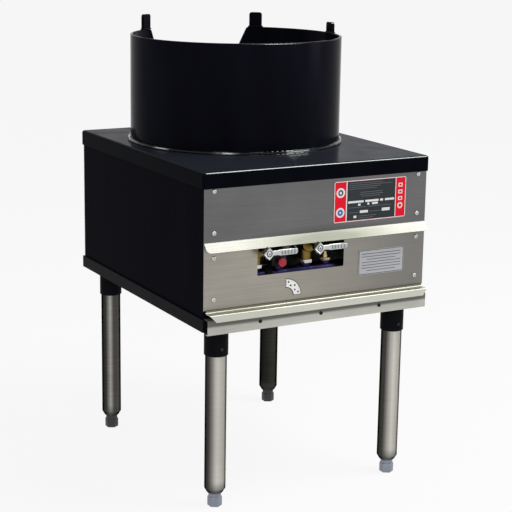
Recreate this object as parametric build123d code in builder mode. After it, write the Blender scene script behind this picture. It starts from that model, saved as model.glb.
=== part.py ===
from build123d import *
from math import atan2, cos, degrees, radians, sin, sqrt
import os

os.makedirs("parts", exist_ok=True)

# A free-standing gas wok range: an enamelled box on four legs, with a tall wok ring welded
# on its top cover.  Millimetres, +Z up, the front faces -Y.  The origin is on the floor,
# under the middle of the top cover.

# ---------------------------------------------------------------- driving dimensions

# Top cover: one steel pressing with a down-turned apron all round
cover_width = 457.0
cover_depth = 533.0
cover_height = 610.0
cover_sheet = 3.0
cover_apron = 28.0
cover_bend_radius = 5.0
cover_corner_radius = 5.5
cover_body_gap = 0.3

# Wok ring and its posts
ring_radius = 199.0
ring_wall = 5.0
ring_height = 197.5
ring_back_margin = 14.5
ring_rim_radius = 1.5
ring_weld = 5.0
notch_half_width = 105.5
notch_foot_half_width = 74.0
notch_depth = 80.0
notch_top_radius = 7.0
notch_bottom_radius = 10.0
post_width = 25.0
post_thickness = 6.0
rear_post_height = 29.0
side_post_height = 20.0
rear_post_angle = 37.25
side_post_angle = -6.0
ring_turn_angle = -2.25
post_corner_radius = 5.0
post_weld = 2.5

# Body panels
side_sheet = 1.5
front_sheet = 1.2
sheet_bend_radius = 2.5
side_flange = 26.0
panel_split_share = 0.5626
panel_split_drop = 2.2
lower_panel_rise = 35.5
lower_panel_return = 10.0
lower_panel_end_gap = 0.4
hood_reach = 14.0
hood_drop = 15.0
hood_corner_radius = 8.0
window_left = -122.0
window_right = 53.0
window_bottom_rise = 88.0
window_top_rise = 145.5
window_corner_radius = 2.5

# Screws
screw_head_radius = 4.0
screw_head_height = 2.2
screw_shank_radius = 2.0
screw_length = 7.0
screw_hole_gap = 0.1
panel_screw_inset = 18.5
upper_screw_rise = 15.5
upper_screw_drop = 33.0
lower_screw_rise = 19.0
lower_screw_drop = 25.3
back_screw_rise = 34.5
back_screw_drop = 32.0

# Base frame, legs and feet
body_height = 275.5
frame_sheet = 3.0
frame_flange = 25.0
frame_upstand = 22.0
gusset_size = 92.0
leg_side_inset = 44.5
leg_end_inset = 35.5
leg_radius = 19.05
leg_wall = 1.5
leg_bottom = 26.0
leg_taper_height = 8.5
leg_end_radius = 14.0
leg_insert_height = 44.0
leg_top_gap = 0.5
socket_wall = 2.2
socket_length = 53.0
socket_gap = 0.2
set_screw_radius = 3.0
set_screw_height = 14.0
set_screw_proud = 1.5
foot_gap = 0.5
foot_flats = 24.0
foot_hex_height = 18.0
foot_neck_radius = 11.5
foot_chamfer = 1.5
stud_radius = 8.0
stud_gap = 0.05
stud_length = 41.0

# Front rail, drip tray and its runners
rail_end_inset = 4.2
rail_sheet = 1.2
rail_bend_radius = 2.0
rail_skirt = 4.0
rail_front = 11.0
rail_return = 8.0
rail_screw_spacing = 122.5
rail_screw_drop = 12.5
rail_screw_radius = 3.2
tray_sheet = 1.0
tray_height = 9.5
tray_slide_gap = 0.3
tray_side_gap = 2.5
tray_front_gap = 1.5
tray_back_gap = 26.7
pull_end_gap = 2.0
pull_sheet = 1.2
pull_bend_radius = 2.0
pull_reach = 19.0
pull_drop = 12.0
pull_lean = 4.0
pull_end_cut = 10.0
pull_lip = 4.5
pull_panel_gap = 0.8
runner_sheet = 1.5
runner_width = 33.0
runner_upstand = 20.0
runner_front_gap = 6.0
runner_back_gap = 15.0

# Front plates
plate_sheet = 0.8
plate_corner = 1.5
data_plate_width = 151.0
data_plate_height = 73.5
data_plate_inset = 120.2
data_plate_raise = 2.75
label_plate_width = 96.5
label_plate_height = 46.0
label_plate_inset = 92.5
label_plate_rise = 54.0
dial_plate_outer = 31.0
dial_plate_inner = 15.0
dial_plate_x = -65.0
dial_plate_rise = 10.5

# Gas supply
pipe_radius = 13.33
pipe_bore = 10.4
thread_radius = 12.9
thread_length = 20.0
thread_runout = 1.0
manifold_setback = 25.2
manifold_height = 80.5
manifold_left = -142.0
inlet_x = 150.0
elbow_bend = 22.0
elbow_radius = 17.0
elbow_collar = 19.0
elbow_collar_length = 9.0
pipe_joint_gap = 0.05
pipe_hole_gap = 2.2
cap_length = 14.0
cap_flats = 33.0
boss_radius = 10.0
boss_height = 16.0
tail_radius = 7.0
tail_gap = 0.05
tail_length = 6.0
nut_flats = 25.0
nut_height = 7.0
valve_outer_x = -113.5
valve_inner_x = -12.5
valve_height = 51.0
valve_neck_radius = 12.0
valve_barrel_radius = 13.5
valve_reach_front = 17.0
valve_reach_back = 16.0
outlet_radius = 9.0
outlet_length = 8.0
gas_way = 4.0
stem_radius = 4.0
stem_gap = 0.05
stem_depth = 10.0
stem_end_gap = 0.5
lever_standoff = 16.3
lever_hub_side = 19.0
lever_hub_depth = 11.5
lever_arm_setback = 3.5
lever_reach = 58.0
lever_height = 11.0
lever_depth = 6.0
lever_rib_count = 7
lever_rib_pitch = 4.6
lever_rib_width = 1.8
lever_rib_height = 1.0
lever_screw_radius = 4.5
orifice_radius = 7.0
orifice_length = 24.0
orifice_tail_radius = 5.5
jet_radius = 1.2
pilot_x = -68.0
pilot_body_width = 30.0
pilot_body_depth = 34.0
pilot_body_height = 25.0
pilot_edge = 2.0
pilot_body_reach = 8.0
button_radius = 8.0
button_height = 5.0
button_travel = 5.0
button_stand = 6.0
button_stem_radius = 3.5
button_stem_gap = 0.05
button_stem_depth = 12.0
button_rise = 24.5
tap_x = 29.0
tap_flats = 18.0
tap_hex_height = 5.0
tap_radius = 5.7
tap_height = 11.0
tap_plug_radius = 4.0
tap_plug_height = 5.0
saddle_x = 91.0
saddle_width = 13.0
saddle_wall = 3.0
saddle_foot = 30.0
saddle_drop = 9.0

# Burner
burner_depth = 90.0
burner_height = 25.0
burner_width = 28.0
burner_wall = 5.0
burner_chamfer = 4.0
inner_mean_radius = 49.0
channel_radius = 1.0
port_radius = 1.7
outer_port_count = 40
inner_port_count = 20
arm_radius = 14.0
arm_bore = 10.5
neck_radius = 16.0
neck_bore = 7.5
bell_radius = 25.0
bell_wall = 2.5
bell_length = 28.0
bell_setback = 46.0
bell_plate = 4.0
hub_radius = 10.0
hub_length = 5.0
hub_bore = 8.5
air_hole_radius = 5.0
air_hole_circle = 17.2
shutter_sheet = 1.5
shutter_gap = 0.3
shutter_bore_gap = 0.06
bar_offset_y = 90.0
flat_offset_x = 47.0
bar_width = 25.0
bar_sheet = 5.0
bar_upstand = 25.0
shroud_gap = 1.5
shroud_wall = 2.5
shroud_flange = 14.0
shroud_flange_sheet = 2.0
shroud_depth = 80.0
cover_hole_radius = 176.0
pilot_circle = 80.0
pilot_bracket_width = 20.0
pilot_head_radius = 6.0
pilot_head_height = 30.0
pilot_spigot_radius = 5.0
pilot_spigot_length = 8.0
pilot_bracket_sheet = 3.0
tube_radius = 3.0
tube_bend = 25.0
tube_gap = 0.05
tube_height = 30.0
probe_offset = 10.0
probe_radius = 2.5
probe_height = 34.0
probe_drop = 12.0
lead_radius = 1.6
lead_height = 22.0

# ---------------------------------------------------------------- derived places

body_half_width = cover_width / 2 - cover_sheet - cover_body_gap
body_half_depth = cover_depth / 2 - cover_sheet - cover_body_gap
cover_underside = cover_height - cover_sheet
ring_centre_y = cover_depth / 2 - ring_back_margin - ring_radius
ring_top = cover_height + ring_height
ring_bore = ring_radius - ring_wall
ring_turn = radians(ring_turn_angle)
notch_angle = 90 + ring_turn_angle

front_face = -body_half_depth
front_inside = front_face + front_sheet
back_face = body_half_depth
back_inside = back_face - side_sheet
side_inside = body_half_width - side_sheet
screw_x = body_half_width - panel_screw_inset
screw_hole_radius = screw_shank_radius + screw_hole_gap

frame_bottom = cover_height - body_height
frame_half_width = body_half_width + frame_sheet
frame_half_depth = body_half_depth + frame_sheet
panel_bottom = frame_bottom + frame_sheet
leg_x = frame_half_width - leg_side_inset
leg_y = frame_half_depth - leg_end_inset
socket_bore = leg_radius + socket_gap
socket_radius = socket_bore + socket_wall
socket_bottom = frame_bottom - socket_length
foot_top = leg_bottom - foot_gap
corners = {
    "front_left": (-1, -1),
    "front_right": (1, -1),
    "rear_left": (-1, 1),
    "rear_right": (1, 1),
}

upper_panel_bottom = frame_bottom + panel_split_share * body_height
lower_panel_bottom = frame_bottom + lower_panel_rise
lower_panel_top = upper_panel_bottom - panel_split_drop
window_bottom = frame_bottom + window_bottom_rise
window_top = frame_bottom + window_top_rise
upper_screw_heights = (upper_panel_bottom + upper_screw_rise, cover_height - upper_screw_drop)
lower_screw_heights = (lower_panel_bottom + lower_screw_rise, lower_panel_top - lower_screw_drop)
back_screw_low = panel_bottom + back_screw_rise
back_screw_high = cover_height - back_screw_drop
back_screw_heights = (back_screw_low, (back_screw_low + back_screw_high) / 2, back_screw_high)
upper_panel_middle = (upper_panel_bottom + cover_height - cover_apron) / 2
data_plate_centre = (body_half_width - data_plate_inset, upper_panel_middle + data_plate_raise)
label_plate_centre = (body_half_width - label_plate_inset, lower_panel_bottom + label_plate_rise)
dial_plate_centre = (dial_plate_x, lower_panel_bottom + dial_plate_rise)

rail_half_width = frame_half_width - rail_end_inset
rail_bottom = frame_bottom - rail_skirt
rail_top = frame_bottom + frame_upstand + rail_sheet
rail_face = -frame_half_depth - rail_front
rail_screw_z = rail_top - rail_screw_drop
tray_bottom = rail_top + tray_slide_gap
tray_half_width = body_half_width - side_flange - tray_side_gap
tray_front = front_inside + tray_front_gap
tray_back = back_inside - tray_back_gap
tray_top = tray_bottom + tray_height
pull_half_width = rail_half_width - pull_end_gap
pull_back = front_face - pull_panel_gap
pull_front = pull_back - pull_reach
pull_root = pull_back - pull_sheet - pull_bend_radius

manifold_y = front_face + manifold_setback
manifold_z = frame_bottom + manifold_height
boss_top = manifold_z + boss_height
valve_z = manifold_z + valve_height
valve_front = manifold_y - valve_reach_front
valve_back = manifold_y + valve_reach_back
lever_back = front_face - lever_standoff
pilot_body_front = manifold_y - pilot_body_reach
button_z = manifold_z + button_rise
burner_bottom = cover_height - burner_depth
bell_front = manifold_y + bell_setback
tube_z = manifold_z + tube_height
lead_z = manifold_z + lead_height
manifold_right = inlet_x - elbow_bend
inlet_front = manifold_y + elbow_bend
lever_front = lever_back - lever_hub_depth
inlet_end = -lever_front
nut_top = boss_top + nut_height
boss_bore = tail_radius + tail_gap
outer_mean_radius = -valve_outer_x
outer_neck_y = ring_centre_y
inner_neck_y = ring_centre_y - sqrt(inner_mean_radius**2 - valve_inner_x**2)
bar_top = burner_bottom
pilot_y = ring_centre_y - sqrt(pilot_circle**2 - pilot_x**2)
bar_floor = bar_top - bar_sheet
shroud_radius = cover_hole_radius - shroud_gap
pilot_body_back = pilot_body_front + pilot_body_depth


def finish(piece, name):
    """Label a finished piece and write its own STEP file."""
    piece.part.label = name
    export_step(piece.part, f"parts/{name}.step")


# ---------------------------------------------------------------- base frame and legs

# Angle-iron frame with a flat gusset in each corner, which the leg sockets hang from
with BuildPart() as base_frame:
    with BuildSketch(Plane.XY.offset(frame_bottom)):
        Rectangle(2 * frame_half_width, 2 * frame_half_depth)
        Rectangle(2 * (frame_half_width - frame_flange),
                  2 * (frame_half_depth - frame_flange), mode=Mode.SUBTRACT)
        with GridLocations(2 * frame_half_width - gusset_size,
                           2 * frame_half_depth - gusset_size, 2, 2):
            Rectangle(gusset_size, gusset_size)
    extrude(amount=frame_sheet)
    with BuildSketch(Plane.XY.offset(frame_bottom)):
        Rectangle(2 * frame_half_width, 2 * frame_half_depth)
        Rectangle(2 * body_half_width, 2 * body_half_depth, mode=Mode.SUBTRACT)
    extrude(amount=frame_upstand)
    with BuildSketch(Plane.XZ.offset(body_half_depth)):
        with Locations((0, rail_screw_z)):
            with GridLocations(rail_screw_spacing, 0, 3, 1):
                Circle(screw_hole_radius)
    extrude(amount=frame_sheet, mode=Mode.SUBTRACT)
finish(base_frame, "base_frame")

for corner, (side, end) in corners.items():
    x, y = side * leg_x, end * leg_y

    # Cast socket welded under the gusset, with a tapped hole for its set screw
    with BuildPart() as leg_socket:
        with BuildSketch(Plane.XY.offset(socket_bottom)):
            with Locations((x, y)):
                Circle(socket_radius)
                Circle(socket_bore, mode=Mode.SUBTRACT)
        extrude(amount=socket_length)
        with BuildSketch(Plane((x, y, socket_bottom + set_screw_height),
                               x_dir=(1, 0, 0), z_dir=(0, end, 0))):
            Circle(set_screw_radius)
        extrude(amount=socket_radius + 1, mode=Mode.SUBTRACT)
        chamfer(leg_socket.edges().filter_by(GeomType.CIRCLE).group_by(Axis.Z)[0]
                .sort_by(SortBy.RADIUS)[-1], length=socket_wall / 3)
    finish(leg_socket, f"leg_socket_{corner}")

    # Leg: a thin tube swaged in at the bottom round a threaded insert
    with BuildPart() as leg:
        with BuildSketch(Plane((x, y, 0), x_dir=(1, 0, 0), z_dir=(0, -1, 0))):
            with BuildLine():
                Polyline((0, leg_bottom), (leg_end_radius, leg_bottom),
                         (leg_radius, leg_bottom + leg_taper_height),
                         (leg_radius, frame_bottom - leg_top_gap),
                         (leg_radius - leg_wall, frame_bottom - leg_top_gap),
                         (leg_radius - leg_wall, leg_bottom + leg_insert_height),
                         (0, leg_bottom + leg_insert_height), close=True)
            make_face()
        revolve(axis=Axis((x, y, 0), (0, 0, 1)))
        fillet(leg.edges().filter_by(GeomType.CIRCLE)
               .filter_by_position(Axis.Z, leg_bottom - 1, leg_bottom + leg_taper_height + 1),
               radius=leg_wall)
        with BuildSketch(Plane.XY.offset(leg_bottom)):
            with Locations((x, y)):
                Circle(stud_radius + stud_gap)
        extrude(amount=leg_insert_height, mode=Mode.SUBTRACT)
    finish(leg, f"leg_{corner}")

    # Adjustable foot: a hexagon with a threaded stud that screws into the leg's insert
    with BuildPart() as foot:
        with BuildSketch():
            with Locations((x, y)):
                RegularPolygon(foot_flats / 2, 6, major_radius=False)
        extrude(amount=foot_hex_height)
        chamfer(foot.faces().sort_by(Axis.Z)[0].edges(), length=foot_chamfer)
        with BuildSketch(Plane.XY.offset(foot_hex_height)):
            with Locations((x, y)):
                Circle(foot_neck_radius)
        extrude(amount=foot_top - foot_hex_height)
        with BuildSketch(Plane.XY.offset(foot_top)):
            with Locations((x, y)):
                Circle(stud_radius)
        extrude(amount=stud_length)
    finish(foot, f"foot_{corner}")

# Set screws that lock the legs in their sockets
with BuildPart() as socket_screws:
    for side, end in corners.values():
        with BuildSketch(Plane((side * leg_x, end * (leg_y + leg_radius), socket_bottom
                                + set_screw_height), x_dir=(1, 0, 0), z_dir=(0, end, 0))):
            Circle(set_screw_radius - screw_hole_gap)
        extrude(amount=socket_gap + socket_wall + set_screw_proud)
finish(socket_screws, "leg_set_screws")

# ---------------------------------------------------------------- body panels

# Side panels: black enamelled sheet with a return flange at the front and at the back
for name, side in (("left", -1), ("right", 1)):
    with BuildPart() as side_panel:
        with BuildSketch(Plane.XY.offset(panel_bottom)):
            with Locations((side * (body_half_width - side_flange / 2),
                            (front_inside + back_inside) / 2)):
                Rectangle(side_flange, back_inside - front_inside)
            with Locations((side * (side_inside - side_flange / 2),
                            (front_inside + back_inside) / 2)):
                Rectangle(side_flange, back_inside - front_inside - 2 * side_sheet,
                          mode=Mode.SUBTRACT)
        extrude(amount=cover_underside - panel_bottom)
        fillet(side_panel.edges().filter_by(Axis.Z).group_by(Axis.X)[-1 if side > 0 else 0],
               radius=side_sheet)
        with BuildSketch(Plane.XZ.offset(-front_inside - side_sheet)):
            for height in upper_screw_heights + lower_screw_heights:
                with Locations((side * screw_x, height)):
                    Circle(screw_hole_radius)
        extrude(amount=side_sheet, mode=Mode.SUBTRACT)
        with BuildSketch(Plane.XZ.offset(-back_inside)):
            for height in back_screw_heights:
                with Locations((side * screw_x, height)):
                    Circle(screw_hole_radius)
        extrude(amount=side_sheet, mode=Mode.SUBTRACT)
    finish(side_panel, f"side_panel_{name}")

# Back panel, with a clearance hole for the gas inlet
with BuildPart() as back_panel:
    with BuildSketch(Plane.XZ.offset(-back_face)):
        with Locations((0, (panel_bottom + cover_underside) / 2)):
            Rectangle(2 * body_half_width, cover_underside - panel_bottom)
        with Locations((inlet_x, manifold_z)):
            Circle(pipe_radius + pipe_hole_gap, mode=Mode.SUBTRACT)
        for height in back_screw_heights:
            with Locations((-screw_x, height), (screw_x, height)):
                Circle(screw_hole_radius, mode=Mode.SUBTRACT)
    extrude(amount=side_sheet)
finish(back_panel, "back_panel")

# Upper front panel: stainless, its bottom edge flared out as a drip hood over the handles
hood_edge = (front_face - hood_reach, upper_panel_bottom - hood_drop)
with BuildPart() as upper_panel:
    with BuildSketch(Plane.YZ):
        with BuildLine():
            FilletPolyline((front_face, cover_underside), (front_face, upper_panel_bottom),
                           hood_edge, radius=sheet_bend_radius)
            offset(amount=front_sheet, side=Side.LEFT)
        make_face()
    extrude(amount=body_half_width, both=True)
    fillet(upper_panel.edges().filter_by(lambda edge: edge.length < 1.5 * front_sheet)
           .sort_by(Axis.Z)[:2], radius=hood_corner_radius)
    with BuildSketch(Plane.XZ.offset(-front_inside)):
        for height in upper_screw_heights:
            with Locations((-screw_x, height), (screw_x, height)):
                Circle(screw_hole_radius)
    extrude(amount=front_sheet, mode=Mode.SUBTRACT)
finish(upper_panel, "upper_front_panel")

# Lower front panel: stainless, with the window that the valves are reached through
with BuildPart() as lower_panel:
    with BuildSketch(Plane.YZ):
        with BuildLine():
            FilletPolyline((front_face, lower_panel_top),
                           (front_face, lower_panel_bottom),
                           (front_face + lower_panel_return, lower_panel_bottom),
                           radius=sheet_bend_radius)
            offset(amount=front_sheet, side=Side.LEFT)
        make_face()
    extrude(amount=body_half_width, both=True)
    # the bottom return fits between the side panels' flanges
    with BuildSketch(Plane.XY.offset(lower_panel_bottom)):
        for side in (-1, 1):
            with Locations((side * body_half_width, front_inside + lower_panel_return)):
                Rectangle(2 * (side_flange + lower_panel_end_gap), 2 * lower_panel_return)
    extrude(amount=2 * sheet_bend_radius, mode=Mode.SUBTRACT)
    with BuildSketch(Plane.XZ.offset(-front_inside)):
        with Locations(((window_left + window_right) / 2, (window_bottom + window_top) / 2)):
            RectangleRounded(window_right - window_left, window_top - window_bottom,
                             window_corner_radius)
        for height in lower_screw_heights:
            with Locations((-screw_x, height), (screw_x, height)):
                Circle(screw_hole_radius)
    extrude(amount=front_sheet, mode=Mode.SUBTRACT)
finish(lower_panel, "lower_front_panel")


# Pan-head screws that hold the front panels and the back panel to the side panels' flanges
for name, face, outward, heights in (
        ("panel_screws", front_face, -1, upper_screw_heights + lower_screw_heights),
        ("back_screws", back_face, 1, back_screw_heights)):
    with BuildPart() as screws:
        for side in (-1, 1):
            for height in heights:
                with BuildSketch(Plane((side * screw_x, face, height),
                                       x_dir=(1, 0, 0), z_dir=(0, outward, 0))):
                    Circle(screw_head_radius)
                extrude(amount=screw_head_height)
        fillet(screws.edges().filter_by(GeomType.CIRCLE)
               .group_by(Axis.Y)[0 if outward < 0 else -1], radius=screw_head_height * 0.6)
        for side in (-1, 1):
            for height in heights:
                with BuildSketch(Plane((side * screw_x, face, height),
                                       x_dir=(1, 0, 0), z_dir=(0, outward, 0))):
                    Circle(screw_shank_radius)
                extrude(amount=-screw_length)
    finish(screws, name)

# ---------------------------------------------------------------- front rail and drip tray

# Front rail: stainless channel screwed to the frame under the drip tray
with BuildPart() as front_rail:
    with BuildSketch(Plane.YZ):
        with BuildLine():
            FilletPolyline((front_face, rail_top), (rail_face, rail_top),
                           (rail_face, rail_bottom),
                           (rail_face + rail_return, rail_bottom),
                           radius=rail_bend_radius)
            offset(amount=rail_sheet, side=Side.LEFT)
        make_face()
    extrude(amount=rail_half_width, both=True)
    with BuildSketch(Plane.XZ.offset(frame_half_depth)):
        with Locations((0, rail_screw_z)):
            with GridLocations(rail_screw_spacing, 0, 3, 1):
                Circle(screw_hole_radius)
    extrude(amount=2 * rail_front, mode=Mode.SUBTRACT)
finish(front_rail, "front_rail")

with BuildPart() as rail_screws:
    with BuildSketch(Plane.XZ.offset(-rail_face)):
        with Locations((0, rail_screw_z)):
            with GridLocations(rail_screw_spacing, 0, 3, 1):
                Circle(rail_screw_radius)
    extrude(amount=screw_head_height)
    fillet(rail_screws.edges().filter_by(GeomType.CIRCLE).group_by(Axis.Y)[0],
           radius=screw_head_height * 0.6)
    with BuildSketch(Plane.XZ.offset(-rail_face)):
        with Locations((0, rail_screw_z)):
            with GridLocations(rail_screw_spacing, 0, 3, 1):
                Circle(screw_shank_radius)
    extrude(amount=-(rail_front + frame_sheet))
finish(rail_screws, "rail_screws")

# Drip tray: a shallow pan whose front edge is flared out and down as a pull
with BuildPart() as drip_tray:
    with BuildSketch(Plane.XY.offset(tray_bottom)):
        with Locations((0, (tray_front + tray_back) / 2)):
            Rectangle(2 * tray_half_width, tray_back - tray_front)
    extrude(amount=tray_height)
    with BuildSketch(Plane.XY.offset(tray_bottom + tray_sheet)):
        with Locations((0, (tray_front + tray_back) / 2)):
            Rectangle(2 * (tray_half_width - tray_sheet), tray_back - tray_front - 2 * tray_sheet)
    extrude(amount=tray_height, mode=Mode.SUBTRACT)
    with BuildSketch(Plane.XY.offset(tray_top - pull_sheet)):
        with Locations((0, (tray_front + tray_sheet + pull_root) / 2)):
            Rectangle(2 * tray_half_width, tray_front + tray_sheet - pull_root)
    extrude(amount=pull_sheet)
    with BuildSketch(Plane.YZ):
        with BuildLine():
            FilletPolyline((pull_back - pull_sheet, tray_top + pull_lip),
                           (pull_back - pull_sheet, tray_top), (pull_front, tray_top),
                           (pull_front - pull_lean, tray_top - pull_drop),
                           radius=pull_bend_radius)
            offset(amount=pull_sheet, side=Side.LEFT)
        make_face()
    extrude(amount=pull_half_width, both=True)
    # both ends of the pull are cut back on a slant
    with BuildSketch(Plane.XZ.offset(-pull_front - pull_reach / 2)):
        for side in (-1, 1):
            with BuildLine():
                Polyline((side * pull_half_width, tray_top - pull_sheet),
                         (side * (pull_half_width - pull_end_cut), tray_top - pull_drop),
                         (side * (pull_half_width - pull_end_cut), tray_top - 2 * pull_drop),
                         (side * (pull_half_width + pull_end_cut), tray_top - 2 * pull_drop),
                         close=True)
            make_face()
    extrude(amount=pull_reach, mode=Mode.SUBTRACT)
finish(drip_tray, "drip_tray")

# Runners: two angles on the side panels, which the tray slides on
for name, side in (("left", -1), ("right", 1)):
    with BuildPart() as runner:
        with BuildSketch(Plane.XZ.offset(-front_inside - runner_front_gap)):
            with Locations((side * (side_inside - runner_width / 2), rail_top)):
                Rectangle(runner_width, runner_sheet, align=(Align.CENTER, Align.MAX))
            with Locations((side * (side_inside - runner_sheet / 2), rail_top - runner_sheet)):
                Rectangle(runner_sheet, runner_upstand, align=(Align.CENTER, Align.MIN))
        extrude(amount=-(back_inside - front_inside - runner_front_gap - runner_back_gap))
    finish(runner, f"tray_runner_{name}")

# ---------------------------------------------------------------- top cover and wok ring

with BuildPart() as top_cover:
    with BuildSketch(Plane.XY.offset(cover_height - cover_apron)):
        RectangleRounded(cover_width, cover_depth, cover_corner_radius)
    extrude(amount=cover_apron)
    fillet(top_cover.faces().sort_by(Axis.Z)[-1].edges(), radius=cover_bend_radius)
    with BuildSketch(Plane.XY.offset(cover_height - cover_apron)):
        Rectangle(cover_width - 2 * cover_sheet, cover_depth - 2 * cover_sheet)
    extrude(amount=cover_apron - cover_sheet, mode=Mode.SUBTRACT)
    with BuildSketch(Plane.XY.offset(cover_underside)):
        with Locations((0, ring_centre_y)):
            Circle(cover_hole_radius)
    extrude(amount=cover_sheet, mode=Mode.SUBTRACT)
finish(top_cover, "top_cover")

# Wok ring: rolled plate, welded round its foot, with a flue notch in the back of its rim
with BuildPart() as wok_ring:
    with BuildSketch(Plane((0, ring_centre_y, 0), x_dir=(1, 0, 0), z_dir=(0, -1, 0))):
        with BuildLine():
            Polyline((ring_bore, cover_height), (ring_radius + ring_weld, cover_height),
                     (ring_radius, cover_height + ring_weld), (ring_radius, ring_top),
                     (ring_bore, ring_top), close=True)
        make_face()
    revolve(axis=Axis((0, ring_centre_y, 0), (0, 0, 1)))
    fillet(wok_ring.edges().filter_by(GeomType.CIRCLE).group_by(Axis.Z)[-1],
           radius=ring_rim_radius)
    with BuildSketch(Plane((0, ring_centre_y, 0), x_dir=(cos(ring_turn), sin(ring_turn), 0),
                           z_dir=(sin(ring_turn), -cos(ring_turn), 0))) as notch:
        with BuildLine():
            Polyline((-notch_half_width - notch_depth, ring_top + notch_depth),
                     (-notch_half_width - notch_depth, ring_top), (-notch_half_width, ring_top),
                     (-notch_foot_half_width, ring_top - notch_depth),
                     (notch_foot_half_width, ring_top - notch_depth),
                     (notch_half_width, ring_top), (notch_half_width + notch_depth, ring_top),
                     (notch_half_width + notch_depth, ring_top + notch_depth), close=True)
        make_face()
        corners_in_rim = notch.vertices().filter_by_position(
            Axis.X, -notch_half_width, notch_half_width)
        fillet(corners_in_rim.group_by(Axis.Y)[-1], radius=notch_top_radius)
        corners_below = notch.vertices().filter_by_position(
            Axis.X, -notch_foot_half_width, notch_foot_half_width)
        fillet(corners_below.group_by(Axis.Y)[0], radius=notch_bottom_radius)
    extrude(amount=-2 * ring_radius, mode=Mode.SUBTRACT)
finish(wok_ring, "wok_ring")

# Posts welded on the rim, which hold the wok off the ring
for name, angle, height in (("left", notch_angle + rear_post_angle, rear_post_height),
                            ("right", notch_angle - rear_post_angle, rear_post_height),
                            ("side", side_post_angle, side_post_height)):
    post_radius = ring_radius - ring_wall / 2
    post_place = Plane((post_radius * cos(radians(angle)),
                        ring_centre_y + post_radius * sin(radians(angle)), ring_top),
                       x_dir=(-sin(radians(angle)), cos(radians(angle)), 0), z_dir=(0, 0, 1))
    with BuildPart() as ring_post:
        with BuildSketch(post_place):
            Rectangle(post_width, post_thickness)
        extrude(amount=height)
        fillet(ring_post.faces().sort_by(Axis.Z)[-1].edges().group_by(SortBy.LENGTH)[0],
               radius=post_corner_radius)
        with BuildSketch(post_place):
            Rectangle(post_width + 2 * post_weld, post_thickness + post_weld)
        extrude(amount=post_weld, taper=30)
    finish(ring_post, f"ring_post_{name}")

# ---------------------------------------------------------------- front plates

with BuildPart() as data_plate:
    with BuildSketch(Plane.XZ.offset(-front_face)):
        with Locations(data_plate_centre):
            RectangleRounded(data_plate_width, data_plate_height, plate_corner)
    extrude(amount=plate_sheet)
finish(data_plate, "data_plate")

with BuildPart() as label_plate:
    with BuildSketch(Plane.XZ.offset(-front_face)):
        with Locations(label_plate_centre):
            RectangleRounded(label_plate_width, label_plate_height, plate_corner)
    extrude(amount=plate_sheet)
finish(label_plate, "label_plate")

with BuildPart() as dial_plate:
    with BuildSketch(Plane.XZ.offset(-front_face)):
        with Locations(dial_plate_centre):
            Circle(dial_plate_outer)
            Circle(dial_plate_inner, mode=Mode.SUBTRACT)
            Rectangle(dial_plate_outer, dial_plate_outer, align=(Align.MIN, Align.MIN),
                      mode=Mode.INTERSECT)
    extrude(amount=plate_sheet)
finish(dial_plate, "dial_plate")

# ---------------------------------------------------------------- gas supply

# Inlet pipe, from the elbow straight out through the back panel.  The threaded end is a
# plain cylinder here, with the thread's run-out as a cone.
thread_start = inlet_end - thread_length
with BuildPart() as inlet_pipe:
    with BuildSketch(Plane((inlet_x, 0, manifold_z), x_dir=(0, 1, 0), z_dir=(1, 0, 0))):
        with BuildLine():
            Polyline((inlet_front, pipe_bore), (inlet_front, pipe_radius),
                     (thread_start - thread_runout, pipe_radius), (thread_start, thread_radius),
                     (inlet_end, thread_radius), (inlet_end, pipe_bore), close=True)
        make_face()
    revolve(axis=Axis((inlet_x, 0, manifold_z), (0, 1, 0)))
finish(inlet_pipe, "inlet_pipe")

# Elbow that turns the gas into the manifold, with a collar over each pipe
with BuildPart() as pipe_elbow:
    with BuildSketch(Plane((manifold_right, manifold_y, manifold_z),
                           x_dir=(0, 1, 0), z_dir=(1, 0, 0))):
        Circle(elbow_radius)
    revolve(axis=Axis((manifold_right, inlet_front, 0), (0, 0, 1)), revolution_arc=90)
    with BuildSketch(Plane((manifold_right, manifold_y, manifold_z),
                           x_dir=(0, 1, 0), z_dir=(1, 0, 0))):
        Circle(elbow_collar)
    extrude(amount=-elbow_collar_length)
    with BuildSketch(Plane.XZ.offset(-inlet_front)):
        with Locations((inlet_x, manifold_z)):
            Circle(elbow_collar)
    extrude(amount=-elbow_collar_length)
    with BuildSketch(Plane((manifold_right, manifold_y, manifold_z),
                           x_dir=(0, 1, 0), z_dir=(1, 0, 0))):
        Circle(pipe_bore)
    revolve(axis=Axis((manifold_right, inlet_front, 0), (0, 0, 1)), revolution_arc=90,
            mode=Mode.SUBTRACT)
    with BuildSketch(Plane((manifold_right, manifold_y, manifold_z),
                           x_dir=(0, 1, 0), z_dir=(1, 0, 0))):
        Circle(pipe_radius + pipe_joint_gap)
    extrude(amount=-elbow_collar_length, mode=Mode.SUBTRACT)
    with BuildSketch(Plane.XZ.offset(-inlet_front)):
        with Locations((inlet_x, manifold_z)):
            Circle(pipe_radius + pipe_joint_gap)
    extrude(amount=-elbow_collar_length, mode=Mode.SUBTRACT)
finish(pipe_elbow, "pipe_elbow")

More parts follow.
